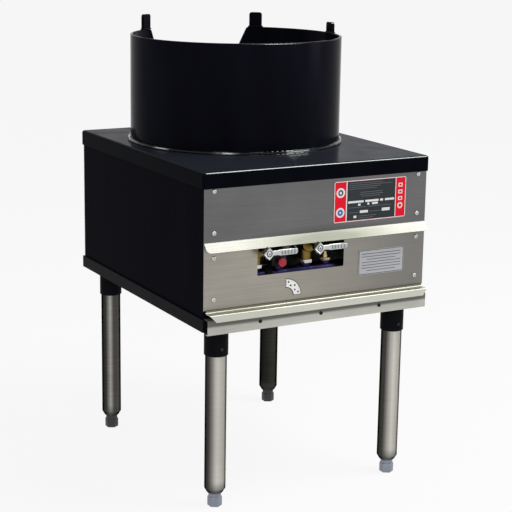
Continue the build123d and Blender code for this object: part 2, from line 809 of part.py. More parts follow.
# Manifold: a pipe with four bored bosses on top
with BuildPart() as manifold:
    with BuildSketch(Plane.YZ.offset(manifold_left)):
        with Locations((manifold_y, manifold_z)):
            Circle(pipe_radius)
    extrude(amount=manifold_right - manifold_left)
    with BuildSketch(Plane.XY.offset(manifold_z)):
        for boss_x in (valve_outer_x, pilot_x, valve_inner_x, tap_x):
            with Locations((boss_x, manifold_y)):
                Circle(boss_radius)
    extrude(amount=boss_top - manifold_z)
    with BuildSketch(Plane.YZ.offset(manifold_left)):
        with Locations((manifold_y, manifold_z)):
            Circle(pipe_bore)
    extrude(amount=manifold_right - manifold_left, mode=Mode.SUBTRACT)
    with BuildSketch(Plane.XY.offset(manifold_z)):
        for boss_x in (valve_outer_x, pilot_x, valve_inner_x, tap_x):
            with Locations((boss_x, manifold_y)):
                Circle(boss_bore)
    extrude(amount=boss_top - manifold_z, mode=Mode.SUBTRACT)
finish(manifold, "manifold")

# Hexagonal cap over the manifold's closed end
with BuildPart() as manifold_cap:
    with BuildSketch(Plane.YZ.offset(manifold_left - saddle_wall)):
        with Locations((manifold_y, manifold_z)):
            RegularPolygon(cap_flats / 2, 6, major_radius=False)
    extrude(amount=cap_length)
    with BuildSketch(Plane.YZ.offset(manifold_left)):
        with Locations((manifold_y, manifold_z)):
            Circle(pipe_radius + pipe_joint_gap)
    extrude(amount=cap_length, mode=Mode.SUBTRACT)
finish(manifold_cap, "manifold_cap")

# Saddles on the back of the lower front panel, which carry the manifold
with BuildPart() as manifold_saddles:
    for side in (-1, 1):
        with BuildSketch(Plane.YZ.offset(side * saddle_x - saddle_width / 2)):
            with Locations((manifold_y, manifold_z)):
                Circle(pipe_radius + pipe_joint_gap + saddle_wall)
                Rectangle(manifold_y - front_inside, 2 * saddle_wall,
                          align=(Align.MAX, Align.CENTER))
            with Locations((front_inside, manifold_z - saddle_drop)):
                Rectangle(saddle_wall, saddle_foot, align=(Align.MIN, Align.CENTER))
            with Locations((manifold_y, manifold_z)):
                Circle(pipe_radius + pipe_joint_gap, mode=Mode.SUBTRACT)
        extrude(amount=saddle_width)
finish(manifold_saddles, "manifold_saddles")

# Lock nuts between the manifold's bosses and the two valves
with BuildPart() as valve_nuts:
    with BuildSketch(Plane.XY.offset(boss_top)):
        for valve_x in (valve_outer_x, valve_inner_x):
            with Locations((valve_x, manifold_y)):
                RegularPolygon(nut_flats / 2, 6, major_radius=False)
                Circle(boss_bore, mode=Mode.SUBTRACT)
    extrude(amount=nut_height)
finish(valve_nuts, "valve_nuts")

for name, valve_x in (("outer", valve_outer_x), ("inner", valve_inner_x)):
    # Valve: a brass barrel with a neck below and an outlet behind
    with BuildPart() as valve:
        with BuildSketch(Plane.XZ.offset(-valve_front)):
            with Locations((valve_x, valve_z)):
                Circle(valve_barrel_radius)
        extrude(amount=-(valve_back - valve_front))
        chamfer(valve.edges().filter_by(GeomType.CIRCLE), length=gas_way / 4)
        with BuildSketch(Plane.XY.offset(nut_top)):
            with Locations((valve_x, manifold_y)):
                Circle(valve_neck_radius)
        extrude(amount=valve_z - nut_top)
        with BuildSketch(Plane.XY.offset(boss_top - tail_length)):
            with Locations((valve_x, manifold_y)):
                Circle(tail_radius)
        extrude(amount=tail_length + nut_height)
        with BuildSketch(Plane.XZ.offset(-valve_back)):
            with Locations((valve_x, valve_z)):
                Circle(outlet_radius)
        extrude(amount=-outlet_length)
        with BuildSketch(Plane.XY.offset(boss_top - tail_length)):
            with Locations((valve_x, manifold_y)):
                Circle(gas_way)
        extrude(amount=valve_z - boss_top + tail_length, mode=Mode.SUBTRACT)
        with BuildSketch(Plane.XZ.offset(-manifold_y)):
            with Locations((valve_x, valve_z)):
                Circle(gas_way)
        extrude(amount=-(valve_back + outlet_length - manifold_y), mode=Mode.SUBTRACT)
        with BuildSketch(Plane.XZ.offset(-valve_back)):
            with Locations((valve_x, valve_z)):
                Circle(orifice_tail_radius + tail_gap)
        extrude(amount=-outlet_length, mode=Mode.SUBTRACT)
        with BuildSketch(Plane.XZ.offset(-valve_front)):
            with Locations((valve_x, valve_z)):
                Circle(stem_radius + stem_gap)
        extrude(amount=-stem_depth, mode=Mode.SUBTRACT)
    finish(valve, f"valve_body_{name}")

    # Lever: a diamond hub on a round stem, and a flat arm with ribs under the finger
    with BuildPart() as lever:
        with BuildSketch(Plane.XZ.offset(-lever_back)):
            with Locations((valve_x, valve_z)):
                RectangleRounded(lever_hub_side, lever_hub_side, lever_rib_width, rotation=45)
        extrude(amount=lever_hub_depth)
        with BuildSketch(Plane.XZ.offset(lever_arm_setback - lever_back)):
            with Locations((valve_x, valve_z)):
                Rectangle(lever_reach, lever_height, align=(Align.MIN, Align.CENTER))
        extrude(amount=lever_depth)
        fillet(lever.edges().filter_by(Axis.Y).group_by(Axis.X)[-1], radius=lever_rib_width)
        with BuildSketch(Plane.XZ.offset(lever_arm_setback - lever_back + lever_depth)):
            for rib in range(lever_rib_count):
                with Locations((valve_x + lever_reach - lever_rib_pitch * (rib + 0.7), valve_z)):
                    Rectangle(lever_rib_width, lever_height - 2 * lever_rib_height)
        extrude(amount=lever_rib_height)
        with BuildSketch(Plane.XZ.offset(-lever_front)):
            with Locations((valve_x, valve_z)):
                Circle(lever_screw_radius + 2 * lever_rib_height)
                Circle(lever_screw_radius, mode=Mode.SUBTRACT)
        extrude(amount=-lever_rib_width, mode=Mode.SUBTRACT)
        with BuildSketch(Plane.XZ.offset(-lever_back)):
            with Locations((valve_x, valve_z)):
                Circle(stem_radius)
        extrude(amount=-(valve_front - lever_back + stem_depth - stem_end_gap))
    finish(lever, f"valve_lever_{name}")

    # Orifice: the brass jet screwed into the valve's outlet
    orifice_back = valve_back + outlet_length
    with BuildPart() as orifice:
        with BuildSketch(Plane.XZ.offset(-orifice_back)):
            with Locations((valve_x, valve_z)):
                Circle(orifice_radius)
        extrude(amount=-orifice_length)
        chamfer(orifice.edges().filter_by(GeomType.CIRCLE).group_by(Axis.Y)[-1],
                length=orifice_radius / 3)
        with BuildSketch(Plane.XZ.offset(-orifice_back)):
            with Locations((valve_x, valve_z)):
                Circle(orifice_tail_radius)
        extrude(amount=outlet_length - stem_end_gap)
        with BuildSketch(Plane.XZ.offset(outlet_length - stem_end_gap - orifice_back)):
            with Locations((valve_x, valve_z)):
                Circle(gas_way)
        extrude(amount=-(outlet_length - stem_end_gap + orifice_length - 2 * jet_radius),
                mode=Mode.SUBTRACT)
        with BuildSketch(Plane.XZ.offset(-orifice_back)):
            with Locations((valve_x, valve_z)):
                Circle(jet_radius)
        extrude(amount=-orifice_length, mode=Mode.SUBTRACT)
    finish(orifice, f"orifice_{name}")

# Pressure tap: a hexagon with a round body and a slotted plug
with BuildPart() as pressure_tap:
    with BuildSketch(Plane.XY.offset(boss_top)):
        with Locations((tap_x, manifold_y)):
            RegularPolygon(tap_flats / 2, 6, major_radius=False)
    extrude(amount=tap_hex_height)
    with BuildSketch(Plane.XY.offset(boss_top)):
        with Locations((tap_x, manifold_y)):
            Circle(tap_radius)
    extrude(amount=tap_height)
    with BuildSketch(Plane.XY.offset(boss_top)):
        with Locations((tap_x, manifold_y)):
            Circle(tap_plug_radius)
    extrude(amount=tap_height + tap_plug_height)
    with BuildSketch(Plane.XY.offset(boss_top + tap_height + tap_plug_height)):
        with Locations((tap_x, manifold_y)):
            Rectangle(2 * tap_plug_radius, jet_radius)
    extrude(amount=-tap_plug_height / 2, mode=Mode.SUBTRACT)
    with BuildSketch(Plane.XY.offset(boss_top - tail_length)):
        with Locations((tap_x, manifold_y)):
            Circle(tail_radius)
    extrude(amount=tail_length)
finish(pressure_tap, "pressure_tap")

# Pilot safety valve, with a bore in front for its push button
with BuildPart() as pilot_valve:
    with BuildSketch(Plane.XY.offset(boss_top)):
        with Locations((pilot_x, pilot_body_front)):
            Rectangle(pilot_body_width, pilot_body_depth, align=(Align.CENTER, Align.MIN))
    extrude(amount=pilot_body_height)
    chamfer(pilot_valve.edges().filter_by(Axis.Z), length=pilot_edge)
    chamfer(pilot_valve.faces().sort_by(Axis.Z)[-1].edges(), length=pilot_edge / 2)
    with BuildSketch(Plane.XY.offset(boss_top - tail_length)):
        with Locations((pilot_x, manifold_y)):
            Circle(tail_radius)
    extrude(amount=tail_length)
    with BuildSketch(Plane.XZ.offset(-pilot_body_front)):
        with Locations((pilot_x, button_z)):
            Circle(button_stem_radius + button_stem_gap)
    extrude(amount=-button_stem_depth, mode=Mode.SUBTRACT)
finish(pilot_valve, "pilot_valve_body")

with BuildPart() as pilot_button:
    with BuildSketch(Plane.XZ.offset(button_stand - pilot_body_front)):
        with Locations((pilot_x, button_z)):
            Circle(button_radius)
    extrude(amount=button_height)
    fillet(pilot_button.faces().sort_by(Axis.Y)[0].edges(), radius=button_height / 3)
    with BuildSketch(Plane.XZ.offset(button_stand - pilot_body_front)):
        with Locations((pilot_x, button_z)):
            Circle(button_stem_radius)
    extrude(amount=-(button_stand + button_stem_depth - button_travel - stem_end_gap))
finish(pilot_button, "pilot_button")

# ---------------------------------------------------------------- burner

for name, mean_radius, neck_x, neck_y, port_count in (
        ("outer", outer_mean_radius, valve_outer_x, outer_neck_y, outer_port_count),
        ("inner", inner_mean_radius, valve_inner_x, inner_neck_y, inner_port_count)):
    arm_axis = Axis((neck_x, 0, valve_z), (0, 1, 0))
    bell_back = bell_front + bell_length
    # Cast ring with a hollow channel, on a neck and an arm that reach forward to an air bell
    with BuildPart() as burner:
        with BuildSketch(Plane((0, ring_centre_y, 0), x_dir=(1, 0, 0), z_dir=(0, -1, 0))) as cut:
            with Locations((mean_radius, burner_bottom)):
                Rectangle(burner_width, burner_height, align=(Align.CENTER, Align.MIN))
            chamfer(cut.vertices().group_by(Axis.Y)[-1], length=burner_chamfer)
        revolve(axis=Axis((0, ring_centre_y, 0), (0, 0, 1)))
        with BuildSketch(Plane.XY.offset(valve_z - neck_radius)):
            with Locations((neck_x, neck_y)):
                Circle(neck_radius)
        extrude(amount=burner_bottom - valve_z + neck_radius + burner_wall / 2)
        with BuildSketch(Plane.XZ.offset(-bell_back)):
            with Locations((neck_x, valve_z)):
                Circle(arm_radius)
        extrude(amount=-(neck_y - bell_back))
        with BuildSketch(Plane((neck_x, 0, valve_z), x_dir=(1, 0, 0), z_dir=(0, 0, 1))):
            with BuildLine():
                Polyline((0, bell_front - hub_length), (hub_radius, bell_front - hub_length),
                         (hub_radius, bell_front), (bell_radius, bell_front),
                         (bell_radius, bell_front + bell_length / 2), (arm_radius, bell_back),
                         (0, bell_back), close=True)
            make_face()
        revolve(axis=arm_axis)
        with BuildSketch(Plane((neck_x, 0, valve_z), x_dir=(1, 0, 0), z_dir=(0, 0, 1))):
            with BuildLine():
                Polyline((0, bell_front + bell_plate),
                         (bell_radius - bell_wall, bell_front + bell_plate),
                         (bell_radius - bell_wall, bell_front + bell_length / 2 - bell_wall),
                         (arm_bore, bell_back - bell_wall), (arm_bore, neck_y + burner_wall),
                         (0, neck_y + burner_wall), close=True)
            make_face()
        revolve(axis=arm_axis, mode=Mode.SUBTRACT)
        with BuildSketch(Plane.XY.offset(valve_z)):
            with Locations((neck_x, neck_y)):
                Circle(neck_bore)
        extrude(amount=burner_bottom + 1.5 * burner_wall - valve_z, mode=Mode.SUBTRACT)
        with BuildSketch(Plane((0, ring_centre_y, 0), x_dir=(1, 0, 0), z_dir=(0, -1, 0))):
            with Locations((mean_radius, burner_bottom + burner_height / 2)):
                RectangleRounded(burner_width - 2 * burner_wall,
                                 burner_height - 2 * burner_wall, channel_radius)
        revolve(axis=Axis((0, ring_centre_y, 0), (0, 0, 1)), mode=Mode.SUBTRACT)
        with BuildSketch(Plane.XY.offset(burner_bottom + burner_height)):
            with Locations((0, ring_centre_y)):
                with PolarLocations(mean_radius, port_count):
                    Circle(port_radius)
        extrude(amount=-1.5 * burner_wall, mode=Mode.SUBTRACT)
        with BuildSketch(Plane.XZ.offset(hub_length - bell_front)):
            with Locations((neck_x, valve_z)):
                Circle(hub_bore)
        extrude(amount=-(hub_length + 1.5 * bell_plate), mode=Mode.SUBTRACT)
        with BuildSketch(Plane.XZ.offset(-bell_front)):
            with Locations((neck_x, valve_z)):
                with PolarLocations(air_hole_circle, 4):
                    Circle(air_hole_radius)
        extrude(amount=-1.5 * bell_plate, mode=Mode.SUBTRACT)
    finish(burner, f"burner_{name}")

    # Air shutter: a disc that turns on the bell's hub to cover the air holes
    with BuildPart() as air_shutter:
        with BuildSketch(Plane.XZ.offset(shutter_gap - bell_front)):
            with Locations((neck_x, valve_z)):
                Circle(bell_radius)
                Circle(hub_radius + shutter_bore_gap, mode=Mode.SUBTRACT)
                with PolarLocations(air_hole_circle, 4):
                    Circle(air_hole_radius, mode=Mode.SUBTRACT)
            with Locations((neck_x, valve_z - bell_radius)):
                RectangleRounded(4 * hub_length / 2, 2 * hub_length, 2 * shutter_sheet)
        extrude(amount=shutter_sheet)
    finish(air_shutter, f"air_shutter_{name}")

# Cradle: two bars across the body with two flats welded between them
with BuildPart() as burner_cradle:
    with BuildSketch(Plane.XY.offset(bar_floor)):
        with Locations((0, ring_centre_y)):
            with GridLocations(0, 2 * bar_offset_y, 1, 2):
                Rectangle(2 * side_inside, bar_width)
            with GridLocations(2 * flat_offset_x, 0, 2, 1):
                Rectangle(bar_width, 2 * bar_offset_y)
    extrude(amount=bar_sheet)
    with BuildSketch(Plane.XY.offset(bar_floor)):
        with Locations((0, ring_centre_y)):
            with GridLocations(2 * side_inside - bar_sheet, 2 * bar_offset_y, 2, 2):
                Rectangle(bar_sheet, bar_width)
    extrude(amount=bar_upstand)
finish(burner_cradle, "burner_cradle")

# Shroud: a thin drum that hangs from its flange in the hole of the top cover
with BuildPart() as burner_shroud:
    with BuildSketch(Plane.XY.offset(cover_height + shroud_flange_sheet - shroud_depth)):
        with Locations((0, ring_centre_y)):
            Circle(shroud_radius)
            Circle(shroud_radius - shroud_wall, mode=Mode.SUBTRACT)
    extrude(amount=shroud_depth)
    with BuildSketch(Plane.XY.offset(cover_height)):
        with Locations((0, ring_centre_y)):
            Circle(shroud_radius + shroud_flange)
            Circle(shroud_radius - shroud_wall, mode=Mode.SUBTRACT)
    extrude(amount=shroud_flange_sheet)
finish(burner_shroud, "burner_shroud")

# Pilot burner: a small head on a bracket under the cradle
probe_x = pilot_x - probe_offset
bracket_left = probe_x - probe_offset
bracket_right = -flat_offset_x
with BuildPart() as pilot_burner:
    with BuildSketch(Plane.XY.offset(bar_floor - pilot_bracket_sheet)):
        with Locations(((bracket_left + bracket_right) / 2, pilot_y)):
            Rectangle(bracket_right - bracket_left, pilot_bracket_width)
    extrude(amount=pilot_bracket_sheet)
    with BuildSketch(Plane.XY.offset(bar_floor)):
        with Locations((pilot_x, pilot_y)):
            Circle(pilot_head_radius)
    extrude(amount=pilot_head_height)
    with BuildSketch(Plane.XY.offset(bar_floor - pilot_bracket_sheet)):
        with Locations((pilot_x, pilot_y)):
            Circle(pilot_spigot_radius)
    extrude(amount=-pilot_spigot_length)
    with BuildSketch(Plane.XY.offset(bar_floor - pilot_bracket_sheet - pilot_spigot_length)):
        with Locations((pilot_x, pilot_y)):
            Circle(tube_radius + tube_gap)
    extrude(amount=pilot_spigot_length, mode=Mode.SUBTRACT)
    with BuildSketch(Plane.XY.offset(bar_floor + pilot_head_height)):
        with Locations((pilot_x, pilot_y)):
            Circle(tube_radius)
    extrude(amount=-tube_bend / 2, mode=Mode.SUBTRACT)
    with BuildSketch(Plane.XY.offset(bar_floor - pilot_bracket_sheet)):
        with Locations((probe_x, pilot_y)):
            Circle(probe_radius + tube_gap)
    extrude(amount=pilot_bracket_sheet, mode=Mode.SUBTRACT)
finish(pilot_burner, "pilot_burner")

# Pilot tube, from the safety valve back and up into the pilot burner
tube_top = bar_floor - pilot_bracket_sheet - stem_end_gap
with BuildPart() as pilot_tube:
    with BuildLine(Plane.YZ.offset(pilot_x)):
        FilletPolyline((pilot_body_back, tube_z), (pilot_y, tube_z), (pilot_y, tube_top),
                       radius=tube_bend)
    with BuildSketch(Plane.XZ.offset(-pilot_body_back)):
        with Locations((pilot_x, tube_z)):
            Circle(tube_radius)
    sweep()
    with BuildSketch(Plane.XZ.offset(-pilot_body_back)):
        with Locations((pilot_x, tube_z)):
            RegularPolygon(2 * tube_radius - tube_radius / 3, 6, major_radius=False)
    extrude(amount=-3 * tube_radius)
finish(pilot_tube, "pilot_tube")

# Thermocouple: a probe beside the pilot head, and its lead back to the safety valve
probe_bottom = bar_floor - probe_drop
with BuildPart() as thermocouple:
    with BuildSketch(Plane.XY.offset(probe_bottom)):
        with Locations((probe_x, pilot_y)):
            Circle(probe_radius)
    extrude(amount=probe_drop + probe_height)
    fillet(thermocouple.faces().sort_by(Axis.Z)[-1].edges(), radius=probe_radius / 2)
    with BuildSketch(Plane.XY.offset(bar_floor - pilot_bracket_sheet)):
        with Locations((probe_x, pilot_y)):
            Circle(1.6 * probe_radius)
    extrude(amount=-pilot_bracket_sheet)
    with BuildLine(Plane.YZ.offset(probe_x)):
        FilletPolyline((pilot_body_back, lead_z), (pilot_y, lead_z), (pilot_y, probe_bottom),
                       radius=tube_bend)
    with BuildSketch(Plane.XZ.offset(-pilot_body_back)):
        with Locations((probe_x, lead_z)):
            Circle(lead_radius)
    sweep()
finish(thermocouple, "thermocouple")
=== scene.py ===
import math

import bpy
from mathutils import Euler, Matrix, Vector


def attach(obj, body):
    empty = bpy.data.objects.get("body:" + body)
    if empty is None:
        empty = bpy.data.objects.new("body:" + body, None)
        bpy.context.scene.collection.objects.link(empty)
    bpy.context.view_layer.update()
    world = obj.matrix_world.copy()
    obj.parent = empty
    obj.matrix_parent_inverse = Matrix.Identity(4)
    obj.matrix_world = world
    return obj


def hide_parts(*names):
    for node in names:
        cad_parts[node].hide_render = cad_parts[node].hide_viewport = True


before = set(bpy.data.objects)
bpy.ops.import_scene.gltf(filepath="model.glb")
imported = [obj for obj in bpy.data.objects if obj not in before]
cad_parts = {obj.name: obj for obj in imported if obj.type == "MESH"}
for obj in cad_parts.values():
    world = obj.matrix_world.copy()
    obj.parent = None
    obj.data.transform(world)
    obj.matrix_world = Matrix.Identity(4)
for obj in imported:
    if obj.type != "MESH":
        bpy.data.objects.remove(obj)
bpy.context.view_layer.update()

# ------------------------------------------------------------------ camera and studio
# A plain product studio: a pale floor that runs into a white background, one large soft box
# above the right front corner, and two weaker ones, for black enamel and brushed steel.

camera_place = (-1.3125, -2.4025, 1.0352)
camera_yaw, camera_pitch, camera_roll = 0.5067, 0.2316, 0.0158
camera_lens = 103.0
room_strength, floor_width, floor_glow = 0.45, 30, 0.88

bpy.ops.object.camera_add(location=camera_place)
camera = bpy.context.object
camera.data.lens = camera_lens
camera.rotation_euler = (
    Euler((math.pi / 2 - camera_pitch, 0, -camera_yaw)).to_matrix()
    @ Matrix.Rotation(camera_roll, 3, "Z")).to_euler()
bpy.context.scene.camera = camera
bpy.context.scene.view_settings.view_transform = "Standard"


def add_node(tree, kind, inputs=None, **settings):
    """Adds one shader node. An input is a plain value, or the output socket that feeds it."""
    node = tree.nodes.new("ShaderNode" + kind)
    for name, value in settings.items():
        setattr(node, name, value)
    for socket, value in (inputs or {}).items():
        if isinstance(value, bpy.types.NodeSocket):
            tree.links.new(value, node.inputs[socket])
        else:
            node.inputs[socket].default_value = value
    return node


def from_hex(code):
    """An sRGB hex colour as the linear values that a shader takes."""
    parts = [int(code[i:i + 2], 16) / 255 for i in (1, 3, 5)]
    return tuple(p / 12.92 if p <= 0.04045 else ((p + 0.055) / 1.055) ** 2.4
                 for p in parts) + (1.0,)


def seen_directly(tree):
    """1 for what the camera, a mirror or a pane shows of the studio, and 0 for its light."""
    ray = add_node(tree, "LightPath")
    either = add_node(tree, "Math", {0: ray.outputs["Is Camera Ray"],
                                     1: ray.outputs["Is Glossy Ray"]}, operation="MAXIMUM")
    return add_node(tree, "Math", {0: either.outputs[0],
                                   1: ray.outputs["Is Transmission Ray"]},
                    operation="MAXIMUM").outputs[0]


studio = bpy.data.worlds.new("studio")
studio.use_nodes = True
tree = studio.node_tree
tree.nodes.clear()
room_light = add_node(tree, "Background", {"Color": from_hex("#eceef2"),
                                           "Strength": room_strength})
backdrop = add_node(tree, "Background", {"Color": (1, 1, 1, 1), "Strength": 1.0})
both = add_node(tree, "MixShader", {0: seen_directly(tree), 1: room_light.outputs[0],
                                    2: backdrop.outputs[0]})
add_node(tree, "OutputWorld", {"Surface": both.outputs[0]})
bpy.context.scene.world = studio

for name, place, aim, size, power, colour in (
        ("overhead_box", (1.15, -0.95, 2.45), (0, -0.25, 0.45), 1.3, 34, "#fffdf8"),
        ("front_box", (-1.7, -2.5, 1.9), (0, 0, 0.4), 1.3, 18, "#ffffff"),
        ("right_box", (2.3, -1.1, 0.9), (0, 0, 0.5), 0.7, 9, "#f2f5ff")):
    bpy.ops.object.light_add(type="AREA", location=place)
    lamp = bpy.context.object
    lamp.name = name
    lamp.data.shape = "SQUARE"
    lamp.data.size = size
    lamp.data.energy = power
    lamp.data.color = from_hex(colour)[:3]
    lamp.rotation_euler = (Vector(aim) - Vector(place)).to_track_quat("-Z", "Y").to_euler()

bpy.ops.mesh.primitive_plane_add(size=floor_width)
floor = bpy.context.object
floor.name = "floor"
paper = bpy.data.materials.new("seamless white paper")
paper.use_nodes = True
tree = paper.node_tree
tree.nodes.clear()
matt = add_node(tree, "BsdfDiffuse", {"Color": from_hex("#f2f2f2")})
glow = add_node(tree, "Emission", {"Color": (1, 1, 1, 1), "Strength": 1.0})
share = add_node(tree, "Math", {0: seen_directly(tree), 1: floor_glow},
                 operation="MULTIPLY")
both = add_node(tree, "MixShader", {0: share.outputs[0], 1: matt.outputs[0],
                                    2: glow.outputs[0]})
add_node(tree, "OutputMaterial", {"Surface": both.outputs[0]})
floor.data.materials.append(paper)

# ------------------------------------------------------------------ base frame and sockets
# Angle iron welded into a rectangle, with a gusset and a leg socket in each corner, all
# sprayed with one coat of satin black paint.

corners = {"front_left": (-1, -1), "front_right": (1, -1),
           "rear_left": (-1, 1), "rear_right": (1, 1)}


def start_material(name, finish):
    """A named material: its tree, the piece's own coordinates, and its shader."""
    material = bpy.data.materials.new(name)
    material.use_nodes = True
    tree = material.node_tree
    tree.nodes.clear()
    place = add_node(tree, "TexCoord").outputs["Object"]
    shader = add_node(tree, "BsdfPrincipled", finish)
    add_node(tree, "OutputMaterial", {"Surface": shader.outputs["BSDF"]})
    return material, tree, place, shader


def dress(material, *names):
    """Gives CAD nodes a material."""
    for name in names:
        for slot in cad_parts[name].material_slots:
            slot.material = material


def sprayed_coat(name, colour, worn, shine=0.4, depth=1.22, peel=2.0):
    """Paint or ink: fine orange peel, peel mm across, and soft cloudy wear 45 mm across.
    depth is its IOR, low for the blacks so that a white studio doesn't turn them grey."""
    material, tree, place, shader = start_material(name, {"Roughness": shine, "IOR": depth})
    clouds = add_node(tree, "TexNoise", {"Vector": place, "Scale": 1000 / 45.5, "Detail": 5.0})
    tint = add_node(tree, "Mix", {0: clouds.outputs[0], 6: from_hex(colour), 7: from_hex(worn)},
                    data_type="RGBA")
    tree.links.new(tint.outputs[2], shader.inputs["Base Color"])
    bumps = add_node(tree, "TexNoise", {"Vector": place, "Scale": 1000 / peel, "Detail": 2.0})
    bump = add_node(tree, "Bump", {"Strength": 0.25, "Distance": 0.0003,
                                   "Height": bumps.outputs[0]})
    tree.links.new(bump.outputs[0], shader.inputs["Normal"])
    return material


frame_paint = sprayed_coat("satin black paint", "#0f0f12", "#19191c", 0.4, 1.07)
dress(frame_paint, "base_frame", *("leg_socket_" + corner for corner in corners))

# ------------------------------------------------------------------ legs
# 38 mm stainless equipment tube, belt-polished round its girth and drawn in at the bottom
# round the insert for the foot. A soft upright highlight is painted into each, with painted
# shade on both sides of it and on the drawn-in end, and the rear tubes are painted darker as
# painted shade.


def brushed_stainless(name, colour, worn, grain, roughness=0.3, finish=None):
    """Belt-polished stainless: scratches, and clouds 143 mm across where the belt bore harder.
    grain is the size in mm of one scratch along X, Y and Z; real ones are about 0.1 mm wide,
    and they are drawn 1 mm wide so that they show."""
    material, tree, place, shader = start_material(name, finish or {"Metallic": 1.0})
    lines = add_node(tree, "Mapping", {"Vector": place,
                                       "Scale": tuple(1000 / size for size in grain)})
    streaks = add_node(tree, "TexNoise", {"Vector": lines.outputs[0], "Scale": 1.0,
                                          "Detail": 3.0, "Roughness": 0.6})
    clouds = add_node(tree, "TexNoise", {"Vector": place, "Scale": 1000 / 143, "Detail": 3.0})
    mixed = add_node(tree, "Math", {0: streaks.outputs[0], 1: clouds.outputs[0]},
                     operation="ADD")
    share = add_node(tree, "MapRange", {"Value": mixed.outputs[0], "From Min": 0.75,
                                        "From Max": 1.25})
    tint = add_node(tree, "Mix", {0: share.outputs[0], 6: from_hex(colour), 7: from_hex(worn)},
                    data_type="RGBA")
    tree.links.new(tint.outputs[2], shader.inputs["Base Color"])
    rough = add_node(tree, "MapRange", {"Value": mixed.outputs[0], "From Min": 0.7,
                                        "From Max": 1.3, "To Min": roughness - 0.06,
                                        "To Max": roughness + 0.08})
    tree.links.new(rough.outputs[0], shader.inputs["Roughness"])
    bump = add_node(tree, "Bump", {"Strength": 0.15, "Distance": 0.0002,
                                   "Height": streaks.outputs[0]})
    tree.links.new(bump.outputs[0], shader.inputs["Normal"])
    return material


def painted_light_or_tone(material, along, tone_from, tone_to, colour, share):
    """Brings in another tone, painted shade, a painted highlight or a plain tone, from where it
    starts to where it is full, two places in metres along axis 0, 1 or 2, or two values of a
    pattern. Gives back how much of it there is."""
    tree = material.node_tree
    shader = tree.nodes["Principled BSDF"]
    if isinstance(along, int):
        place = add_node(tree, "TexCoord").outputs["Object"]
        along = add_node(tree, "SeparateXYZ", {0: place}).outputs[along]
    amount = add_node(tree, "MapRange", {"Value": along, "From Min": tone_from,
                                         "From Max": tone_to, "To Max": share}).outputs[0]
    tint = add_node(tree, "Mix", {0: amount, 7: from_hex(colour),
                                  6: shader.inputs["Base Color"].links[0].from_socket},
                    data_type="RGBA")
    tree.links.new(tint.outputs[2], shader.inputs["Base Color"])
    return amount


leg_x, leg_y = 0.1837, 0.2307
end_unshaded, end_shaded = 0.05, 0.03
tube_finish = {"Metallic": 1.0, "Anisotropic": 0.85, "Anisotropic Rotation": 0.25,
               "Specular Tint": from_hex("#000000")}
# The highlight painted on a tube lies at streak, in metres from its middle. It fades into
# painted shade over left on one side and over right on the other, where the painted shade
# covers share of the steel. The rear rows' darker tones are painted shade as well.
for corner, colour, worn, streak, left, right, share in (
        ("front_left", "#d4d1c8", "#bfbcb4", -0.0055, 0.012, 0.020, 0.6),
        ("front_right", "#d2cfc6", "#bdbab2", -0.0055, 0.012, 0.020, 0.7),
        ("rear_left", "#a3a19b", "#888683", -0.0092, 0.0065, 0.007, 0.85),
        ("rear_right", "#363532", "#282725", -0.0055, 0.012, 0.020, 0.6)):
    streak += corners[corner][0] * leg_x
    leg_steel = brushed_stainless("belt-polished tube, " + corner, colour, worn,
                                  (60.0, 60.0, 1.0), 0.32, tube_finish)
    # painted shade on both sides of the painted highlight
    painted_light_or_tone(leg_steel, 0, streak, streak - left, "#1f1f1c", 0.93)
    painted_light_or_tone(leg_steel, 0, streak, streak + right, "#33312c", share)
    # painted shade on the drawn-in end
    painted_light_or_tone(leg_steel, 2, end_unshaded, end_shaded, "#3d3d3c", 0.85)
    dress(leg_steel, "leg_" + corner)

# ------------------------------------------------------------------ feet
# Die-cast zinc feet, tumbled to a dull blue grey, darker at the rear: a hexagon for the
# spanner, a neck, and a stud whose thread shows when the foot is wound out. Each screws into
# its leg's insert.

foot_flats, foot_rounding = 0.0235, 0.0016
foot_hex_height, foot_top, stud_top = 0.018, 0.0255, 0.0665
neck_radius, neck_flare, neck_overlap = 0.011, 0.0006, 0.001
stud_radius, stud_pitch = 0.0072, 0.002


def only(piece):
    """Makes one object the whole selection, so that an operator acts on it alone."""
    bpy.ops.object.select_all(action="DESELECT")
    piece.select_set(True)
    bpy.context.view_layer.objects.active = piece


def pick(piece, kind, wanted):
    """Goes into edit mode with just the vertices, edges or faces that the test wants."""
    only(piece)
    bpy.ops.object.mode_set(mode="EDIT")
    bpy.ops.mesh.select_mode(type={"vertices": "VERT", "edges": "EDGE", "polygons": "FACE"}[kind])
    bpy.ops.mesh.select_all(action="DESELECT")
    bpy.ops.object.mode_set(mode="OBJECT")
    for part in getattr(piece.data, kind):
        part.select = wanted(part)
    bpy.ops.object.mode_set(mode="EDIT")


def settle(piece, name, round_by=0.0, steps=2, smooth=35):
    """Puts a piece's place into its mesh, rounds its sharp edges, and names it."""
    if bpy.context.mode != "OBJECT":
        bpy.ops.object.mode_set(mode="OBJECT")
    only(piece)
    bpy.ops.object.transform_apply(location=True, rotation=True, scale=True)
    if round_by:
        edge = piece.modifiers.new("rounded edges", "BEVEL")
        edge.width, edge.segments = round_by, steps
        edge.limit_method, edge.angle_limit = "ANGLE", math.radians(35)
    for modifier in list(piece.modifiers):
        bpy.ops.object.modifier_apply(modifier=modifier.name)
    bpy.ops.object.shade_smooth_by_angle(angle=math.radians(smooth))
    piece.name = name
    return piece


def joined(name, *pieces):
    """Makes several settled pieces one object."""
    bpy.ops.object.select_all(action="DESELECT")
    for piece in pieces:
        piece.select_set(True)
    bpy.context.view_layer.objects.active = pieces[0]
    bpy.ops.object.join()
    pieces[0].name = name
    return pieces[0]


def copied(piece, name, shift):
    """A copy of a settled piece, with a mesh of its own, moved by shift."""
    only(piece)
    bpy.ops.object.duplicate()
    twin = bpy.context.object
    bpy.ops.transform.translate(value=shift)
    bpy.ops.object.transform_apply(location=True, rotation=True, scale=True)
    twin.name = name
    return twin


